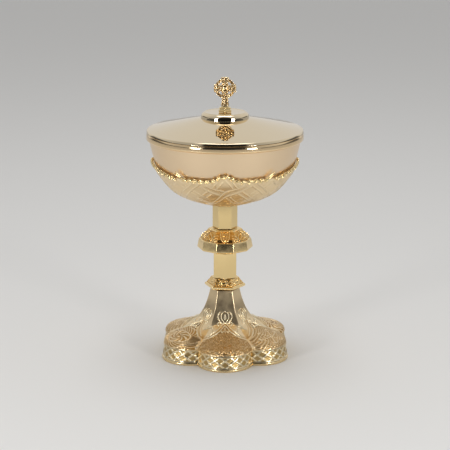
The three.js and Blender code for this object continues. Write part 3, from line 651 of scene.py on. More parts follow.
def lobe_relief(across, out, from_edge, pattern, patina):
    """Height of the carving in millimetres, and its share from 0 in the ground to 1 on top."""
    from_valley = (out * math.tan(SECTOR / 2) - np.abs(across)) * math.cos(SECTOR / 2)
    from_arch = out - np.interp(np.abs(across), *np.array(ARCH_FOOT).T)
    inside = np.minimum.reduce([from_edge, from_valley, from_arch])
    ground = np.clip((inside - 1.1) / 0.4, 0, 1)
    border = ridge(np.abs(np.minimum(from_edge, from_valley) - 0.9), 0.5) * (from_arch > 0)
    carving = pattern(across, FIELD_REACH - from_edge) * ground
    height = CARVING_DEPTH * (carving - ground) + BORDER_HEIGHT * border
    beside_arch = np.clip(1 + from_arch / ARCH_TONING_WIDTH, 0, 1) * (from_arch < 0)
    toning = beside_arch * (out > NECK_FROM) + NECK_TONING * (out <= NECK_FROM)
    return height, np.clip(1 - ground + carving * (1 - patina) - ARCH_TONING * toning, 0, 1)


LOBE_PATTERNS = [knot_relief, rosette_relief, whorl_relief] * 2
LOBE_PATINA = [0.46, 0.12, 0.12] * 2  # how far the toning reaches up the relief
print("patterns:", [pattern.__name__ for pattern in LOBE_PATTERNS])

# %% [markdown]
# The carving moves the shell's points along their normals. The normals come from the smooth grid itself:
# the cross product of its two directions. One lobe's grid is carved six times and turned round the axis.
# The heights are also kept on the points, so that the finish can be darker in the hollows.

# %% Foot shell with its carving
SHELL_ROWS, SHELL_COLUMNS = 132, 114
CARVED_RUN, CARVED_ROWS = 0.55, int(0.72 * SHELL_ROWS)  # the cushion's share of the profile, and its rows
NECK_BORE, NECK_ROOF = 6.0, 2.5


def grid_normals(grid):
    """Outward unit normals of a grid of points whose columns run round the axis and rows run upwards."""
    normal = np.cross(np.gradient(grid, axis=1), np.gradient(grid, axis=0))
    return normal / (np.linalg.norm(normal, axis=2)[:, :, None] + 1e-12)


profile_run = np.concatenate([[0], np.cumsum(np.hypot(*np.diff(shell_line[:, :2], axis=0).T))])
row_run = profile_run[-1] * np.concatenate([
    np.linspace(0, CARVED_RUN, CARVED_ROWS, endpoint=False),
    np.linspace(CARVED_RUN, 1, SHELL_ROWS - CARVED_ROWS)])
shell_rows = np.stack([np.interp(row_run, profile_run, shell_line[:, k]) for k in range(3)], -1)
shell_across = lobe_angles(SHELL_COLUMNS)
smooth_reach = np.array([shell_reach(shell_across, tip, valley) for _, tip, valley in shell_rows])
lobe_grid = turn(shell_across, smooth_reach, shell_rows[:, 0])
lobe_normals = grid_normals(lobe_grid)
from_edge = np.repeat(row_run[:, None], len(shell_across), 1)
outer, shares = [], []
for lobe, (pattern, patina) in enumerate(zip(LOBE_PATTERNS, LOBE_PATINA)):
    height, share = lobe_relief(lobe_grid[:, :, 1], lobe_grid[:, :, 0], from_edge, pattern, patina)
    carved = (lobe_grid + lobe_normals * height[:, :, None])[:, :-1]
    angle = FRONT + lobe * SECTOR
    x = carved[:, :, 0] * math.cos(angle) - carved[:, :, 1] * math.sin(angle)
    y = carved[:, :, 0] * math.sin(angle) + carved[:, :, 1] * math.cos(angle)
    outer.append(np.stack([x, y, carved[:, :, 2]], -1))
    shares.append(share[:, :-1])

inner_across, inner_angles = round_the_foot(shell_across)
neck_roof = shell_high[2] - NECK_ROOF
inner_reach = [np.full(len(inner_angles), NECK_BORE)] * 2
inner_heights = [shell_high[2], neck_roof]
for height, tip, valley in shell_rows[::-18]:
    inner_reach.append(shell_reach(inner_across, tip, valley) - SHELL_WALL)
    inner_heights.append(min(max(height - SHELL_WALL, shell_low[2]), neck_roof))
inner = turn(inner_angles, inner_reach, inner_heights)
shell_relief = np.vstack([np.concatenate(shares, 1), np.ones(inner.shape[:2])])
foot_shell = skin("foot_cushion", np.concatenate([np.concatenate(outer, 1), inner]), relief=shell_relief)
keep(foot_shell, "vessel", "foot_gilt", carved_gold, "foot_shell")

# %% [markdown]
# Some pieces follow curves: the tracery of the neck and the crest of the calyx. A node tree builds each
# along a curve object, and the result is kept as a plain mesh. Every such tree starts with its named inputs
# and ends by making the instances real and giving them their material.

# %% Tools for what follows curves
SOCKET_KINDS = {float: "NodeSocketFloat", int: "NodeSocketInt", tuple: "NodeSocketVector"}


def start_tree(name, inputs):
    """A node tree with inputs of those names and values, and its first and last node's sockets."""
    tree = bpy.data.node_groups.new(name, "GeometryNodeTree")
    for direction in ("INPUT", "OUTPUT"):
        tree.interface.new_socket("Geometry", in_out=direction, socket_type="NodeSocketGeometry")
    for label, value in inputs.items():
        socket = tree.interface.new_socket(label, in_out="INPUT", socket_type=SOCKET_KINDS[type(value)])
        socket.default_value = value
    return tree, tree.nodes.new("NodeGroupInput").outputs, tree.nodes.new("NodeGroupOutput")


def end_tree(tree, geometry, end, material):
    """Ends a tree with Realize Instances and Set Material."""
    real = add_node(tree, "GeometryNodeRealizeInstances", {"Geometry": geometry})
    coat = add_node(tree, "GeometryNodeSetMaterial", {
        "Geometry": real.outputs["Geometry"], "Material": material})
    set_inputs(tree, end, {"Geometry": coat.outputs["Geometry"]})
    return tree


def to_plain_mesh(source, name, tree=None):
    """Keeps what an object's modifiers, or a tree, make of it as a plain mesh at the origin."""
    if tree:
        source.modifiers.new("nodes", "NODES").node_group = tree
    mesh = bpy.data.meshes.new_from_object(source.evaluated_get(bpy.context.evaluated_depsgraph_get()))
    bpy.data.objects.remove(source)
    mesh.shade_smooth()
    return add_object(name, mesh)


def curve_object(name, lines):
    """A curve object with one poly spline for each line of points, in metres."""
    data = bpy.data.curves.new(name, "CURVE")
    data.dimensions = "3D"
    for line in lines:
        spline = data.splines.new("POLY")
        spline.points.add(len(line) - 1)
        spline.points.foreach_set("co", np.hstack([line, np.ones((len(line), 1))]).ravel())
    return add_object(name, data)


def ring_strand_tree(strand_radius, count, material):
    """Sweeps a round section along curves and repeats the result round the axis."""
    tree, start, end = start_tree("strands_round_the_axis", {"Radius": strand_radius, "Copies": count})
    section = add_node(tree, "GeometryNodeCurvePrimitiveCircle", {
        "Resolution": 10, "Radius": start["Radius"]})
    sweep = add_node(tree, "GeometryNodeCurveToMesh", {
        "Curve": start["Geometry"], "Profile Curve": section.outputs["Curve"], "Fill Caps": True})
    points = add_node(tree, "GeometryNodePoints", {"Count": start["Copies"]})
    index = add_node(tree, "GeometryNodeInputIndex").outputs["Index"]
    angle = add_math(tree, "MULTIPLY", add_math(tree, "DIVIDE", index, start["Copies"]), 2 * math.pi)
    rotation = add_node(tree, "ShaderNodeCombineXYZ", {"Z": angle})
    copies = add_node(tree, "GeometryNodeInstanceOnPoints", {
        "Points": points.outputs["Points"], "Instance": sweep.outputs["Mesh"],
        "Rotation": rotation.outputs["Vector"]})
    return end_tree(tree, copies.outputs["Instances"], end, material)


print("kinds of input:", sorted(SOCKET_KINDS.values()))

# %% [markdown]
# On each face of the neck a pointed arch springs from the carving, with tendrils that rise from its apex.
# They are thin strands that lie on the surface, the same on all six faces. The curves are given as
# places on the face: across and height, in millimetres.

# %% Arch and tendrils of the neck
STRAND_RADIUS = 0.55
MIDDLE_LINES = [
    [(0, 36.2), (-0.7, 38.2), (0, 41.0), (0.7, 38.2), (0, 36.2)],
    [(0, 28.4), (0, 30.6)],
    [(0, 43.0), (0, 43.9)],
]
SIDE_LINES = [  # the arch's two lines, then the tendrils
    [(0, 34.2), (2.1, 32.9), (5.7, 30.1), (10, 27.9), (13.4, 25.9), (16.6, 24.2)],
    [(0, 32.2), (1.6, 31.2), (5.0, 28.7), (9.6, 26.5), (14.6, 24.3)],
    [(0.7, 34.0), (1.6, 35.2), (2.9, 36.9), (3.5, 39.1), (3.0, 41.4), (1.6, 42.9)],
    [(2.4, 33.6), (4.4, 35.2), (6.1, 37.6), (6.5, 40.0), (5.4, 42.2), (3.6, 43.1)],
    [(3.2, 33.4), (5.2, 34.5), (6.8, 33.6), (6.3, 32.2), (4.9, 31.9)],
    [(1.4, 28.9), (2.8, 28.4), (3.6, 29.3), (2.9, 30.2)],
    [(11.4, 28.3), (12.9, 29.3), (13.4, 30.9), (12.2, 31.3), (11.7, 30.1), (12.6, 29.2)],
]


def on_neck(line, count):
    """A line of the front face laid on the shell, in metres."""
    return np.array([shell_point(*place) for place in smooth_line(line, count)]) * MM


face_lines = [on_neck(line, 26) for line in MIDDLE_LINES]
for line in SIDE_LINES:
    for side in (-1, 1):
        face_lines.append(on_neck([(side * across, height) for across, height in line], 30))
# The strands' pale colour is a painted highlight on lines of the same gilt as the neck.
strand_tree = ring_strand_tree(STRAND_RADIUS * MM, LOBES, strand_highlight_gold)
neck_strands = to_plain_mesh(curve_object("neck_curves", face_lines), "neck_tracery", strand_tree)
keep(neck_strands, "vessel", "cast_gilt", strand_highlight_gold)

# %% [markdown]
# The collar is a cast hexagonal flange, turned a little on the axis. Its upper bevel carries a boss in a
# ring on each face, between leaves, over a scalloped line.

# %% Collar
COLLAR_TURN = math.radians(-7.4)
COLLAR_UNDERSIDE, COLLAR_EDGE, COLLAR_RELIEF = 2.7, 1.7, 0.45
COLLAR_BEVEL_RUN = 7.0  # length of the bevel's slope
SPIGOT = 8.3  # radius of the bore in the collar and in the knop
collar_foot = shell_high[2] + CLEARANCE
collar_top = box_mm("lower_stem")[0][2] - CLEARANCE
collar_corner = box_mm("collar")[1][0] / math.cos(COLLAR_TURN)
stem_corner = box_mm("lower_stem")[1][1]
edge_foot, edge_top = collar_foot + COLLAR_UNDERSIDE, collar_foot + COLLAR_UNDERSIDE + COLLAR_EDGE
collar_profile = rounded([
    (stem_corner + 0.2, collar_foot, 0.1), (collar_corner - 0.6, edge_foot - 0.5, 0.5),
    (collar_corner, edge_foot, 0.4), (collar_corner, edge_top, 0.4),
    (collar_corner - 1.2, edge_top + 0.5, 0.3)], closed=False)
collar_rings = plain_rings(fine_angles, collar_profile, HEXAGON, COLLAR_TURN)
bevel_corner, bevel_foot = collar_rings[-1][0].max(), collar_rings[-1][1]


def collar_relief(x, y):
    """The carving of one face, x across it and y up the slope in millimetres."""
    from_boss = y - 3.6
    boss = ridge(np.hypot(x / 2.4, from_boss / 1.5), 1)
    ring_line = ridge(np.abs(np.hypot(x / 3.5, from_boss / 2.4) - 1) * 2.6, 0.7)
    leaf = np.clip(np.cos(2.1 * np.abs(x) - 1.5 * y) * 1.5, 0, 1)
    leaf = leaf * (np.hypot(x / 3.6, from_boss / 2.6) > 1.1)
    scallop = ridge(np.abs(y - 0.9 - 0.7 * np.abs(np.sin(np.abs(x) * 1.5))), 0.45)
    return np.maximum.reduce([boss, ring_line, 0.9 * leaf * (y > 1.9), scallop])


across, _ = face_place(fine_angles, HEXAGON, COLLAR_TURN)
for share in np.linspace(0.02, 1, 34):
    corner = bevel_corner + share * (stem_corner + 1.0 - bevel_corner)
    half_face = corner * math.sin(math.pi / HEXAGON)
    carving = 1.0 if share > 0.96 else collar_relief(across * half_face, share * COLLAR_BEVEL_RUN)
    reach = polygon(fine_angles, HEXAGON, corner, COLLAR_TURN) + COLLAR_RELIEF * (carving - 1)
    collar_rings.append((reach, bevel_foot + share * (collar_top - bevel_foot), carving))
collar_rings += [(SPIGOT, collar_rings[-1][1], 1.0), (SPIGOT, collar_foot, 1.0)]
collar = ring_skin("carved_collar", fine_angles, collar_rings)
keep(collar, "vessel", "cast_gilt", cast_gold, "collar")

# %% [markdown]
# The knop has ten sides. Its band leans inwards, and the bevel over it begins as ten sides and ends as the
# hexagon of its ledge, so each ring is a mixture of the two. The faces of the bevel carry a shield of double
# lines and crossing arcs in turn.

# %% Knop
KNOP_SIDES = 10
KNOP_CORNER = FRONT + math.pi / KNOP_SIDES
KNOP_UNDERSIDE, KNOP_BAND, KNOP_BEVEL, KNOP_RELIEF = 4.4, 8.3, 9.1, 0.7
KNOP_LEDGE_RADIUS = 15.4
HEXAGON_FROM = 0.35  # share of the bevel from which the ten sides go over to six
knop_foot = box_mm("lower_stem")[1][2] + CLEARANCE
knop_top = box_mm("upper_stem")[0][2] - CLEARANCE
knop_corner = box_mm("knop")[1][0]
band_foot, band_top = knop_foot + KNOP_UNDERSIDE, knop_foot + KNOP_UNDERSIDE + KNOP_BAND
knop_profile = rounded([
    (stem_corner + 1, knop_foot, 0.1), (knop_corner - 0.9, band_foot - 0.9, 0.5),
    (knop_corner, band_foot, 0.5), (knop_corner - 1.6, band_top - 0.4, 0.3),
    (knop_corner - 2.0, band_top, 0.3)], closed=False)
BEVEL_SHARES = [0, 0.15, HEXAGON_FROM, 1]
bevel_corners = [knop_corner - 2.1, knop_corner - 2.6, knop_corner - 3.8, KNOP_LEDGE_RADIUS]


def shield_relief(x, y, half):
    """A pointed shield of double lines with rings in it. y goes from 0 at the tip to 1."""
    edge = half * 0.95 * np.clip((y - 0.06) / 0.94, 0, 1) ** 0.6
    lines = np.maximum(ridge(np.abs(np.abs(x) - edge), 0.7), ridge(np.abs(np.abs(x) - edge + 2.1), 0.55))
    lines = lines * (y > 0.04)
    rings = np.zeros(x.shape)
    for middle_x, middle_y in ((0, 0.42), (1.9, 0.76), (-1.9, 0.76)):
        rings = np.maximum(rings, ridge(np.abs(np.hypot(x - middle_x, (y - middle_y) * 12) - 1.35), 0.6))
    return np.maximum(lines, rings * (np.abs(x) < edge - 1.6))


def arcs_relief(x, y, half):
    """Crossing arcs that rise from the band's edge to both sides."""
    arcs = np.zeros(x.shape)
    for middle in (-half, half):
        for reach in (3.2, 5.6, 8.0):
            arcs = np.maximum(arcs, ridge(np.abs(np.hypot(x - middle, 12 * y) - reach), 0.6))
    return arcs * (np.abs(x) < half * 0.96)


across, face = face_place(fine_angles, KNOP_SIDES, KNOP_CORNER)
knop_rings = plain_rings(fine_angles, knop_profile, KNOP_SIDES, KNOP_CORNER, 0.5)
for share in np.linspace(0.01, 1, 46):
    corner = np.interp(share, BEVEL_SHARES, bevel_corners)
    to_hexagon = max(0, (share - HEXAGON_FROM) / (1 - HEXAGON_FROM))
    reach = (1 - to_hexagon) * polygon(fine_angles, KNOP_SIDES, corner, KNOP_CORNER, 0.5)
    reach += to_hexagon * polygon(fine_angles, HEXAGON, corner, FACE_FRONT, 0.5)
    half_face = corner * math.sin(math.pi / KNOP_SIDES)
    x = across * half_face
    carving = np.where(face % 2 == 1, shield_relief(x, share, half_face), arcs_relief(x, share, half_face))
    if share < 0.04 or share > 0.95:
        carving = 1.0
    knop_rings.append((reach + KNOP_RELIEF * (carving - 1), band_top + share * KNOP_BEVEL, carving))
ledge_profile = ((KNOP_LEDGE_RADIUS - 0.5, knop_top - 0.35), (12.9, knop_top - 0.25), (12.6, knop_top))
knop_rings += plain_rings(fine_angles, ledge_profile, HEXAGON, FACE_FRONT, 0.4)
knop_rings += [(SPIGOT, knop_top, 1.0), (SPIGOT, knop_foot, 1.0)]
knop = ring_skin("carved_knop", fine_angles, knop_rings)
keep(knop, "vessel", "cast_gilt", cast_gold, "knop")

# %% [markdown]
# The calyx is a thin cast bowl that clasps the cup. Its edge has a point in front and behind and rises in a
# long slope to each side. Its face is covered with double lines that sweep up to both sides and are woven,
# over a row of small arches, rings and beads at its foot. The skin follows the cup's wall at a fixed
# distance, so it is built from places along that wall.

# %% Calyx
calyx_foot = box_mm("calyx")[0][2]
calyx_bore = box_mm("bowl_boss")[1][0] + CLEARANCE
CREST_LOW, CREST_PEAK = 34.5, 41.0
CALYX_WALL, CALYX_BEAD = 1.2, 0.3
CALYX_RELIEF, CALYX_SINK = 0.42, 0.22
CREST_BREAK = 43.5  # degrees from the front at which the crest starts again
FRONT_STOPS = ([0, 3, 7, 10, 13, 30, CREST_BREAK], [1, 0.82, 0.42, 0.14, 0, 0, 0.1])
SIDE_STOPS = ([CREST_BREAK, 50, 60, 72, 82, 90], [0.0, 0.1, 0.38, 0.7, 0.92, 1])
STRAPS, STRAP_SWEEP = 16, math.radians(88)
LINE_SPREAD, LINE_WIDTH, UNDER_REACH = 0.15, 0.09, 0.25  # shares of the step from strap to strap
TONING_STOPS = ([0, 0.15, 0.3, 1], [0.75, 0.75, 0.5, 0.36])  # how dark the ground is, from the foot up


def crest_height(angles):
    """Height of the calyx's edge over its foot: a point in front and behind, a long rise to each side."""
    off_front = np.degrees(np.abs((angles - FRONT + math.pi / 2) % math.pi - math.pi / 2))
    near, far = (np.interp(off_front, *stops) for stops in (FRONT_STOPS, SIDE_STOPS))
    return CREST_LOW + (CREST_PEAK - CREST_LOW) * np.where(off_front < CREST_BREAK, near, far)


def wall_place(run, offset):
    """Radius and height on the cup's wall at a share of its length, moved out by offset."""
    side = offset_line(cup_line, 1.0) - cup_line
    radius, height, out, up = (np.interp(run, cup_run, values) for values in (*cup_line.T, *side.T))
    return radius + offset * out, height + offset * up


def run_at_height(height):
    return np.interp(height, cup_line[:, 1], cup_run)


def straps(angles, up, radius):
    """Two families of straps of double lines that sweep to both sides as they rise, woven."""
    step = 2 * math.pi / STRAPS
    families = []
    for side in (-1, 1):
        turned_by = angles - FRONT - side * STRAP_SWEEP * up**0.8
        number = np.round(turned_by / step)
        off = np.abs(turned_by - number * step) * radius
        half_width = np.minimum(0.95, LINE_WIDTH * step * radius)
        lines = ridge(np.abs(off - LINE_SPREAD * step * radius), half_width)
        families.append((off, lines, np.cos(math.pi * (number + 7 * up)) * side))
    (off_one, one, over_one), (off_two, two, _) = families
    one_on_top = over_one > 0
    one = np.where((off_two < UNDER_REACH * step * radius) & ~one_on_top, 0, one)
    two = np.where((off_one < UNDER_REACH * step * radius) & one_on_top, 0, two)
    return np.maximum(one, two)


def calyx_relief(around, up, radius):
    """The carving at a share of the wall's length: the straps, and arches, rings and beads under them."""
    lines = straps(calyx_angles, up, radius) * np.clip((up - 0.12) / 0.03, 0, 1)
    wave = np.sin(4 * around)
    arch = ridge(np.abs(np.abs(wave) * 0.24 + 0.05 - up) * 44, 0.9)
    rings = ridge(np.abs(np.hypot(wave * radius / 4, (up - 0.19) * 44) - 1.3), 0.6)
    beads = ridge(np.hypot(np.sin(16 * around) * radius / 16, (up - 0.05) * 40), 0.9)
    return np.maximum.reduce([lines, arch, rings, beads])


calyx_angles = even_angles(900)
crest_run = run_at_height(calyx_foot + crest_height(calyx_angles))
foot_run = float(np.interp(calyx_bore, cup_line[:, 0], cup_run))
calyx_rings = []
for up in np.linspace(0, 1, 96):
    run = foot_run + up * (crest_run - 0.028 - foot_run)
    radius, _ = wall_place(run, CLEARANCE + CALYX_WALL)
    carving = calyx_relief(calyx_angles - FRONT, up, radius)
    relief = np.clip(1 - np.interp(up, *TONING_STOPS) * (1 - carving), 0, 1)
    offset = CLEARANCE + CALYX_WALL + CALYX_RELIEF * carving - CALYX_SINK
    calyx_rings.append((*wall_place(run, offset), relief))
for back, offset in (
        (0.024, CALYX_WALL + CALYX_BEAD), (0.006, CALYX_WALL + CALYX_BEAD), (0, CALYX_WALL), (0, 0)):
    calyx_rings.append((*wall_place(crest_run - back, CLEARANCE + offset), 1.0))
for up in np.linspace(0.9, 0, 7):
    calyx_rings.append((*wall_place(foot_run + up * (crest_run - foot_run), CLEARANCE), 1.0))
calyx = ring_skin("calyx_strapwork", calyx_angles, calyx_rings)
keep(calyx, "vessel", "cast_gilt", calyx_gold, "calyx")

# %% [markdown]
# The crest of the calyx is a chain of small rings and slanting leaves. A node tree places them in turn along
# a curve, each sized a little differently from a fixed seed, and runs a thin wire behind them. Every ring
# and leaf faces away from the axis, and the slant changes side from one to the next.

# %% Node tree of the crest
KNOT_INPUTS = {
    "Spacing": 5.6 * MM, "Ring radius": 1.5 * MM, "Leaf size": (2.9 * MM, 0.9 * MM, 1.1 * MM),
    "Leaf slant": 0.75, "Wire radius": 0.5 * MM,
}
SMALLEST, LARGEST = (0.8, 0.8, 0.8), (1.2, 1.25, 1.2)
RING_SEED, LEAF_SEED = 3, 8


def knot_chain_tree(inputs, material):
    """Rings and slanting leaves in turn along a curve, facing away from the axis, and a thin wire."""
    tree, start, end = start_tree("knots", inputs)
    section = add_node(tree, "GeometryNodeCurvePrimitiveCircle", {
        "Resolution": 8, "Radius": start["Wire radius"]})
    wire = add_node(tree, "GeometryNodeCurveToMesh", {
        "Curve": start["Geometry"], "Profile Curve": section.outputs["Curve"], "Fill Caps": True})
    hoop = add_node(tree, "GeometryNodeCurvePrimitiveCircle", {
        "Resolution": 16, "Radius": start["Ring radius"]})
    ring = add_node(tree, "GeometryNodeCurveToMesh", {
        "Curve": hoop.outputs["Curve"], "Profile Curve": section.outputs["Curve"]})
    ball = add_node(tree, "GeometryNodeMeshUVSphere", {"Segments": 12, "Rings": 8, "Radius": 1.0})
    leaf = add_node(tree, "GeometryNodeTransform", {
        "Geometry": ball.outputs["Mesh"], "Scale": start["Leaf size"]})
    half_spacing = add_math(tree, "MULTIPLY", start["Spacing"], 0.5)
    place = add_node(tree, "GeometryNodeInputPosition").outputs["Position"]
    outwards = add_node(tree, "ShaderNodeVectorMath", {0: place, 1: (1, 1, 0)}, operation="MULTIPLY")
    join = add_node(tree, "GeometryNodeJoinGeometry")
    for shape, gap, seed in (
            (ring.outputs["Mesh"], start["Spacing"], RING_SEED),
            (leaf.outputs["Geometry"], half_spacing, LEAF_SEED)):
        places = add_node(tree, "GeometryNodeCurveToPoints", {
            "Curve": start["Geometry"], "Length": gap}, mode="LENGTH")
        facing = add_node(tree, "FunctionNodeAxesToRotation", {
            "Primary Axis": outwards.outputs["Vector"], "Secondary Axis": places.outputs["Tangent"]},
            primary_axis="Z", secondary_axis="X")
        number = add_node(tree, "GeometryNodeInputIndex").outputs["Index"]
        by_turns = add_math(tree, "COSINE", add_math(tree, "MULTIPLY", number, math.pi))
        slant = add_node(tree, "ShaderNodeCombineXYZ", {
            "Z": add_math(tree, "MULTIPLY", by_turns, start["Leaf slant"])})
        slanted = add_node(tree, "FunctionNodeRotateRotation", {
            "Rotation": facing.outputs["Rotation"], "Rotate By": slant.outputs["Vector"]},
            rotation_space="LOCAL")
        size = add_node(tree, "FunctionNodeRandomValue", {
            0: SMALLEST, 1: LARGEST, "Seed": seed}, data_type="FLOAT_VECTOR")
        copies = add_node(tree, "GeometryNodeInstanceOnPoints", {
            "Points": places.outputs["Points"], "Instance": shape, "Rotation": slanted.outputs["Rotation"],
            "Scale": size.outputs["Value"]})
        set_inputs(tree, join, {"Geometry": copies.outputs["Instances"]})
    set_inputs(tree, join, {"Geometry": wire.outputs["Mesh"]})
    return end_tree(tree, join.outputs["Geometry"], end, material)


knot_tree = knot_chain_tree(KNOT_INPUTS, crest_gold)
print("nodes in the tree:", len(knot_tree.nodes))

# %% [markdown]
# The chain runs along the calyx's edge in four lengths: over the points in front and behind, where it dips
# to the very point, and over the two sides.

# %% Crest chain
POINT_REACH, SIDE_REACH = 34.5, 45.0  # half of each length, in degrees


def crest_point(degrees, lift, out=1.0):
    """A point beside the calyx's edge, at an angle from the front, in metres."""
    angle = FRONT + math.radians(degrees)
    run = float(run_at_height(calyx_foot + float(crest_height(np.array([angle]))[0]) + lift))
    radius, height = wall_place(run, CLEARANCE + CALYX_WALL + out)
    return np.array([radius * math.cos(angle), radius * math.sin(angle), height]) * MM


chain_lines = []
for quarter in range(4):
    over_point = quarter % 2 == 0
    reach = POINT_REACH if over_point else SIDE_REACH
    off_middle = np.linspace(-reach, reach, 90)
    lifts = np.interp(np.abs(off_middle), [0, 12], [-0.7, 0.6]) if over_point else np.full(90, 0.3)
    chain_lines.append([crest_point(quarter * 90 + off, lift) for off, lift in zip(off_middle, lifts)])
crest_line = curve_object("crest_line", chain_lines)
crest_chain = to_plain_mesh(crest_line, "crest_knots", knot_tree)
keep(crest_chain, "vessel", "cast_gilt", crest_gold)

# %% [markdown]
# About 40 degrees from the front and from the back the chain is broken, and a spike leans up over the gap:
# three tapering bars side by side, a beaded one between two plain ones.

# %% Spikes of the crest
SPIKE_FOOT, SPIKE_TIP = (34.2, 0.3), (41.4, 7.0)  # degrees from the middle, and height over the edge
SPIKE_BARS = ((-1.05, 0.52), (0, 0.4), (1.05, 0.52))  # shift and thickness


def horns(name, paths):
    """Tapering round horns along paths of points with a radius each, in metres."""
    points, faces = [], []
    sides = 10
    for path, radii in paths:
        path = np.asarray(path)
        along = np.gradient(path, axis=0)
        along /= np.linalg.norm(along, axis=1)[:, None]
        across = np.cross(along, [0, 0, 1.0])
        across /= np.linalg.norm(across, axis=1)[:, None]
        other = np.cross(along, across)
        angle = even_angles(sides)[None, :, None]
        section = across[:, None] * np.cos(angle) + other[:, None] * np.sin(angle)
        rings = path[:, None] + np.asarray(radii)[:, None, None] * section
        start = len(points)
        points += rings.reshape(-1, 3).tolist()
        faces += (ring_faces(len(path), sides, False) + start).tolist()
        faces.append([start + k for k in range(sides)][::-1])
        faces.append([start + (len(path) - 1) * sides + k for k in range(sides)])
    return close_up(add_mesh(name, points, faces))


spikes = []
share = np.linspace(0, 1, 16)
for middle in (0, 180):
    for side in (-1, 1):
        for shift, thick in SPIKE_BARS:
            off = SPIKE_FOOT[0] + (SPIKE_TIP[0] - SPIKE_FOOT[0]) * share - 0.6 * shift
            lift = SPIKE_FOOT[1] + (SPIKE_TIP[1] - SPIKE_FOOT[1] - 0.9 * abs(shift)) * share + 0.7 * shift
            path = [crest_point(middle + side * degrees, up, 0.9) for degrees, up in zip(off, lift)]
            beads = 1 + (0.35 * np.cos(16 * share) if shift == 0 else 0)
            spikes.append((path, thick * beads * (1 - 0.35 * share**3) * MM))
leaf_spikes = horns("crest_spikes", spikes)
keep(leaf_spikes, "vessel", "cast_gilt", crest_gold)

# %% [markdown]
# The cross has its outline, its ring and its piercings from the CAD part. A merged copy is rebuilt as an
# even, fine mesh by a Remesh modifier, which also softens its edges, and then the front and the back are
# carved with the same weave as the foot's band, with a boss in the middle and a rope on the ring.

# %% Cross
CROSS_MIDDLE = 249.8
CROSS_RING = (6.5, 9.3)
CROSS_ARM, CROSS_BOSS = 2.9, 2.4  # half width of an arm, and radius kept free for the boss
CROSS_FOOT = -16.5  # under this height from the middle the tang is plain
CROSS_RELIEF, CROSS_SWELL = 0.65, 0.1
CROSS_VOXEL = 0.24


def remeshed_copy(node, name, voxel_mm):
    """A merged copy of a CAD node, rebuilt with small even faces."""
    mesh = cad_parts[node].data.copy()
    mesh.materials.clear()
    copy = close_up(add_object(name + "_copy", mesh))
    remesh = copy.modifiers.new("remesh", "REMESH")
    remesh.mode = "VOXEL"
    remesh.voxel_size = voxel_mm * MM
    soften = copy.modifiers.new("soften", "SMOOTH")
    soften.factor, soften.iterations = 0.5, 2
    return to_plain_mesh(copy, name)


def vertex_arrays(mesh):
    """Places in millimetres and normals of a mesh's vertices."""
    places, normals = (np.empty(len(mesh.vertices) * 3) for _ in range(2))
    mesh.vertices.foreach_get("co", places)
    mesh.vertex_normals.foreach_get("vector", normals)
    return places.reshape(-1, 3) / MM, normals.reshape(-1, 3)


cross = remeshed_copy("cross", "carved_cross", CROSS_VOXEL)
places, normals = vertex_arrays(cross.data)
x, z = places[:, 0], places[:, 2] - CROSS_MIDDLE
radius, angle = np.hypot(x, z), np.arctan2(z, x)
rope = np.clip(np.cos(16 * angle + 2.2 * radius) * 1.5, 0, 1)
off_arms = np.minimum(np.abs(x), np.abs(z)) > CROSS_ARM
on_ring = (radius > CROSS_RING[0]) & (radius < CROSS_RING[1]) & off_arms
carving = np.where(on_ring, rope, weave(x / 3.4, z / 3.4, 0.26))
carving = np.maximum(carving * (radius > CROSS_BOSS), ridge(radius, 2.0))
facing = np.clip((np.abs(normals[:, 1]) - 0.6) / 0.3, 0, 1)
carving = np.where(z < CROSS_FOOT, 1.0, 1 - facing + facing * carving)
places += normals * (CROSS_RELIEF * (carving - 1) + CROSS_SWELL)[:, None]
cross.data.vertices.foreach_set("co", (places * MM).ravel())
set_relief(cross.data, carving)
keep(cross, "lid", "cast_gilt", cross_gold, "cross")

# %% [markdown]
# Under the cross stands a small hexagonal block with a moulding at its foot and another near its top.

# %% Block under the cross
BLOCK_NECK = 3.9
block_low, block_high = box_mm("cross_base")
block_corner = block_high[1]
block_profile = rounded([
    (TANG_HOLE, block_low[2]), (block_corner - 0.3, block_low[2], 0.3),
    (block_corner, block_low[2] + 0.5, 0.4), (block_corner, block_low[2] + 1.4, 0.4),
    (block_corner - 1.0, block_low[2] + 1.9, 0.3),
    (block_corner - 1.2, block_high[2] - 1.9, 0.3), (block_corner - 0.5, block_high[2] - 1.5, 0.3),
    (block_corner - 0.9, block_high[2] - 1.0, 0.3), (BLOCK_NECK, block_high[2] - 0.9, 0.3),
    (BLOCK_NECK, block_high[2], 0.2), (TANG_HOLE, block_high[2]),
])
block_rings = plain_rings(facet_angles, block_profile, HEXAGON, CORNER_FRONT)
cross_block = ring_skin("cross_block", facet_angles, block_rings)
keep(cross_block, "lid", "cast_gilt", crest_gold, "cross_base")

# %% [markdown]
# The pieces inside keep their CAD meshes, since nothing but their finish is missing: brass for the washers
# and the stud block, steel for the rod and nuts, and the lid's polish for the locating ring.

# %% Finish of the inner pieces
INNER_FINISH = {
    "foot_plate": plain_brass, "bowl_boss": plain_brass, "lid_washer": plain_brass, "foot_nut": plain_steel,
    "lid_nut": plain_steel, "tie_rod": plain_steel, "lid_bezel": mirror_gold,
}
for node, material in INNER_FINISH.items():
    for material_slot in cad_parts[node].material_slots:
        material_slot.material = material
print("finished inner pieces:", len(INNER_FINISH))

# %% [markdown]
# The camera stands where the photographer's stood. The ellipses of the lid, the cup and the foot tell that
# it looks down by a little over 14 degrees, from well away and through a long lens.

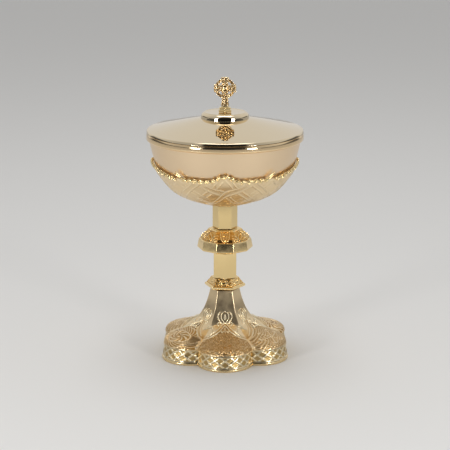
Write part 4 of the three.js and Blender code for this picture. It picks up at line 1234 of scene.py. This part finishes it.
# %% Camera
PHOTO_SIDE, FOCAL_PIXELS = 450, 1462
SENSOR = 36
PITCH = math.radians(14.34)
CAMERA_DISTANCE, LOOK_AT_HEIGHT = 1.3545, 0.12198
camera_data = bpy.data.cameras.new("camera")
camera_data.sensor_width = SENSOR
camera_data.lens = FOCAL_PIXELS / PHOTO_SIDE * SENSOR
camera_data.clip_start, camera_data.clip_end = 0.05, 100
camera = add_object("camera", camera_data)
camera.location = (
    0, -CAMERA_DISTANCE * math.cos(PITCH), LOOK_AT_HEIGHT + CAMERA_DISTANCE * math.sin(PITCH))
camera.rotation_euler = (math.pi / 2 - PITCH, 0, 0)
bpy.context.scene.camera = camera
print("lens", round(camera_data.lens, 2))

# %% [markdown]
# The floor is a wide sheet of pale paper. Polished metal shows what stands round it, so the light comes from
# a plain studio: walls that get brighter towards the back, a dark opening within about 37 degrees of the
# front, and a darker strip low down everywhere but at the back. The opening gives the disc its dark window
# and the lid's edge its dark line. Two small lamps stand low in front, and a large one hangs over the vessel.

# %% Floor and light
FLOOR_REACH = 30.0
WALL_LEAN, FRONT_WALL, BACK_WALL = 0.17, 0.44, 0.68
OPENING_SLOPE, OPENING_LIGHT, HORIZON_LIGHT = 1.33, 0.05, 0.16
LAMP_AIM = (0, 0, 0.13)
floor_corners = [(x * FLOOR_REACH, y * FLOOR_REACH, 0) for x, y in ((-1, -1), (1, -1), (1, 1), (-1, 1))]
floor = add_mesh("floor", floor_corners, [(0, 1, 2, 3)])
floor_paper, _, _ = new_material("floor_paper", {
    "Metallic": 0.0, "Roughness": 0.8, "Base Color": (0.82, 0.81, 0.79, 1)})
floor.data.materials.append(floor_paper)
floor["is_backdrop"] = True

world = bpy.data.worlds.new("studio")
world.use_nodes = True
sky = world.node_tree
direction = add_node(sky, "ShaderNodeTexCoord").outputs["Generated"]
parts = add_node(sky, "ShaderNodeSeparateXYZ", {"Vector": direction}).outputs
leaning = add_math(sky, "ADD", add_math(sky, "MULTIPLY", parts["X"], WALL_LEAN), parts["Y"])
walls = add_range(sky, leaning, FRONT_WALL, BACK_WALL, -0.45, 0.45)
aside = add_math(sky, "MULTIPLY", add_math(sky, "ABSOLUTE", parts["X"]), OPENING_SLOPE)
into_front = add_math(sky, "SUBTRACT", add_math(sky, "MULTIPLY", parts["Y"], -1.0), aside)
opening = add_range(sky, into_front, 1.0, OPENING_LIGHT, 0.0, 0.16)
back_rise = add_range(sky, parts["Y"], 0.0, 0.42, 0.6, 0.9)
side_fall = add_range(sky, parts["Y"], 0.0, 0.12, -0.1, 0.3)
level = add_math(sky, "SUBTRACT", add_math(sky, "ADD", parts["Z"], back_rise), side_fall)
horizon = add_range(sky, level, HORIZON_LIGHT, 1.0, 0.05, 0.17)
studio = add_math(sky, "MULTIPLY", add_math(sky, "MULTIPLY", walls, opening), horizon)
set_inputs(sky, sky.nodes["Background"], {"Color": studio, "Strength": 1.0})
bpy.context.scene.world = world


def soft_box(name, place, size, power):
    """A rectangular lamp that faces the middle of the vessel."""
    data = bpy.data.lights.new(name, "AREA")
    data.shape = "RECTANGLE"
    data.size, data.size_y = size
    data.energy = power
    lamp = add_object(name, data)
    lamp.location = place
    x, y, z = np.array(LAMP_AIM) - np.array(place)
    lamp.rotation_euler = (math.atan2(math.hypot(x, y), -z), 0, math.atan2(y, x) - math.pi / 2)
    return lamp


soft_box("soft_box_left", (-0.80, -0.89, 0.31), (0.26, 0.20), 4.1)
soft_box("soft_box_right", (0.74, -0.95, 0.31), (0.26, 0.20), 4.1)
soft_box("soft_box_top", (0, 0.2, 1.7), (0.9, 0.9), 7)
bpy.context.scene.view_settings.view_transform = "Standard"
print("lamps:", len(bpy.data.lights))

# %% Finish
low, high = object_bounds()
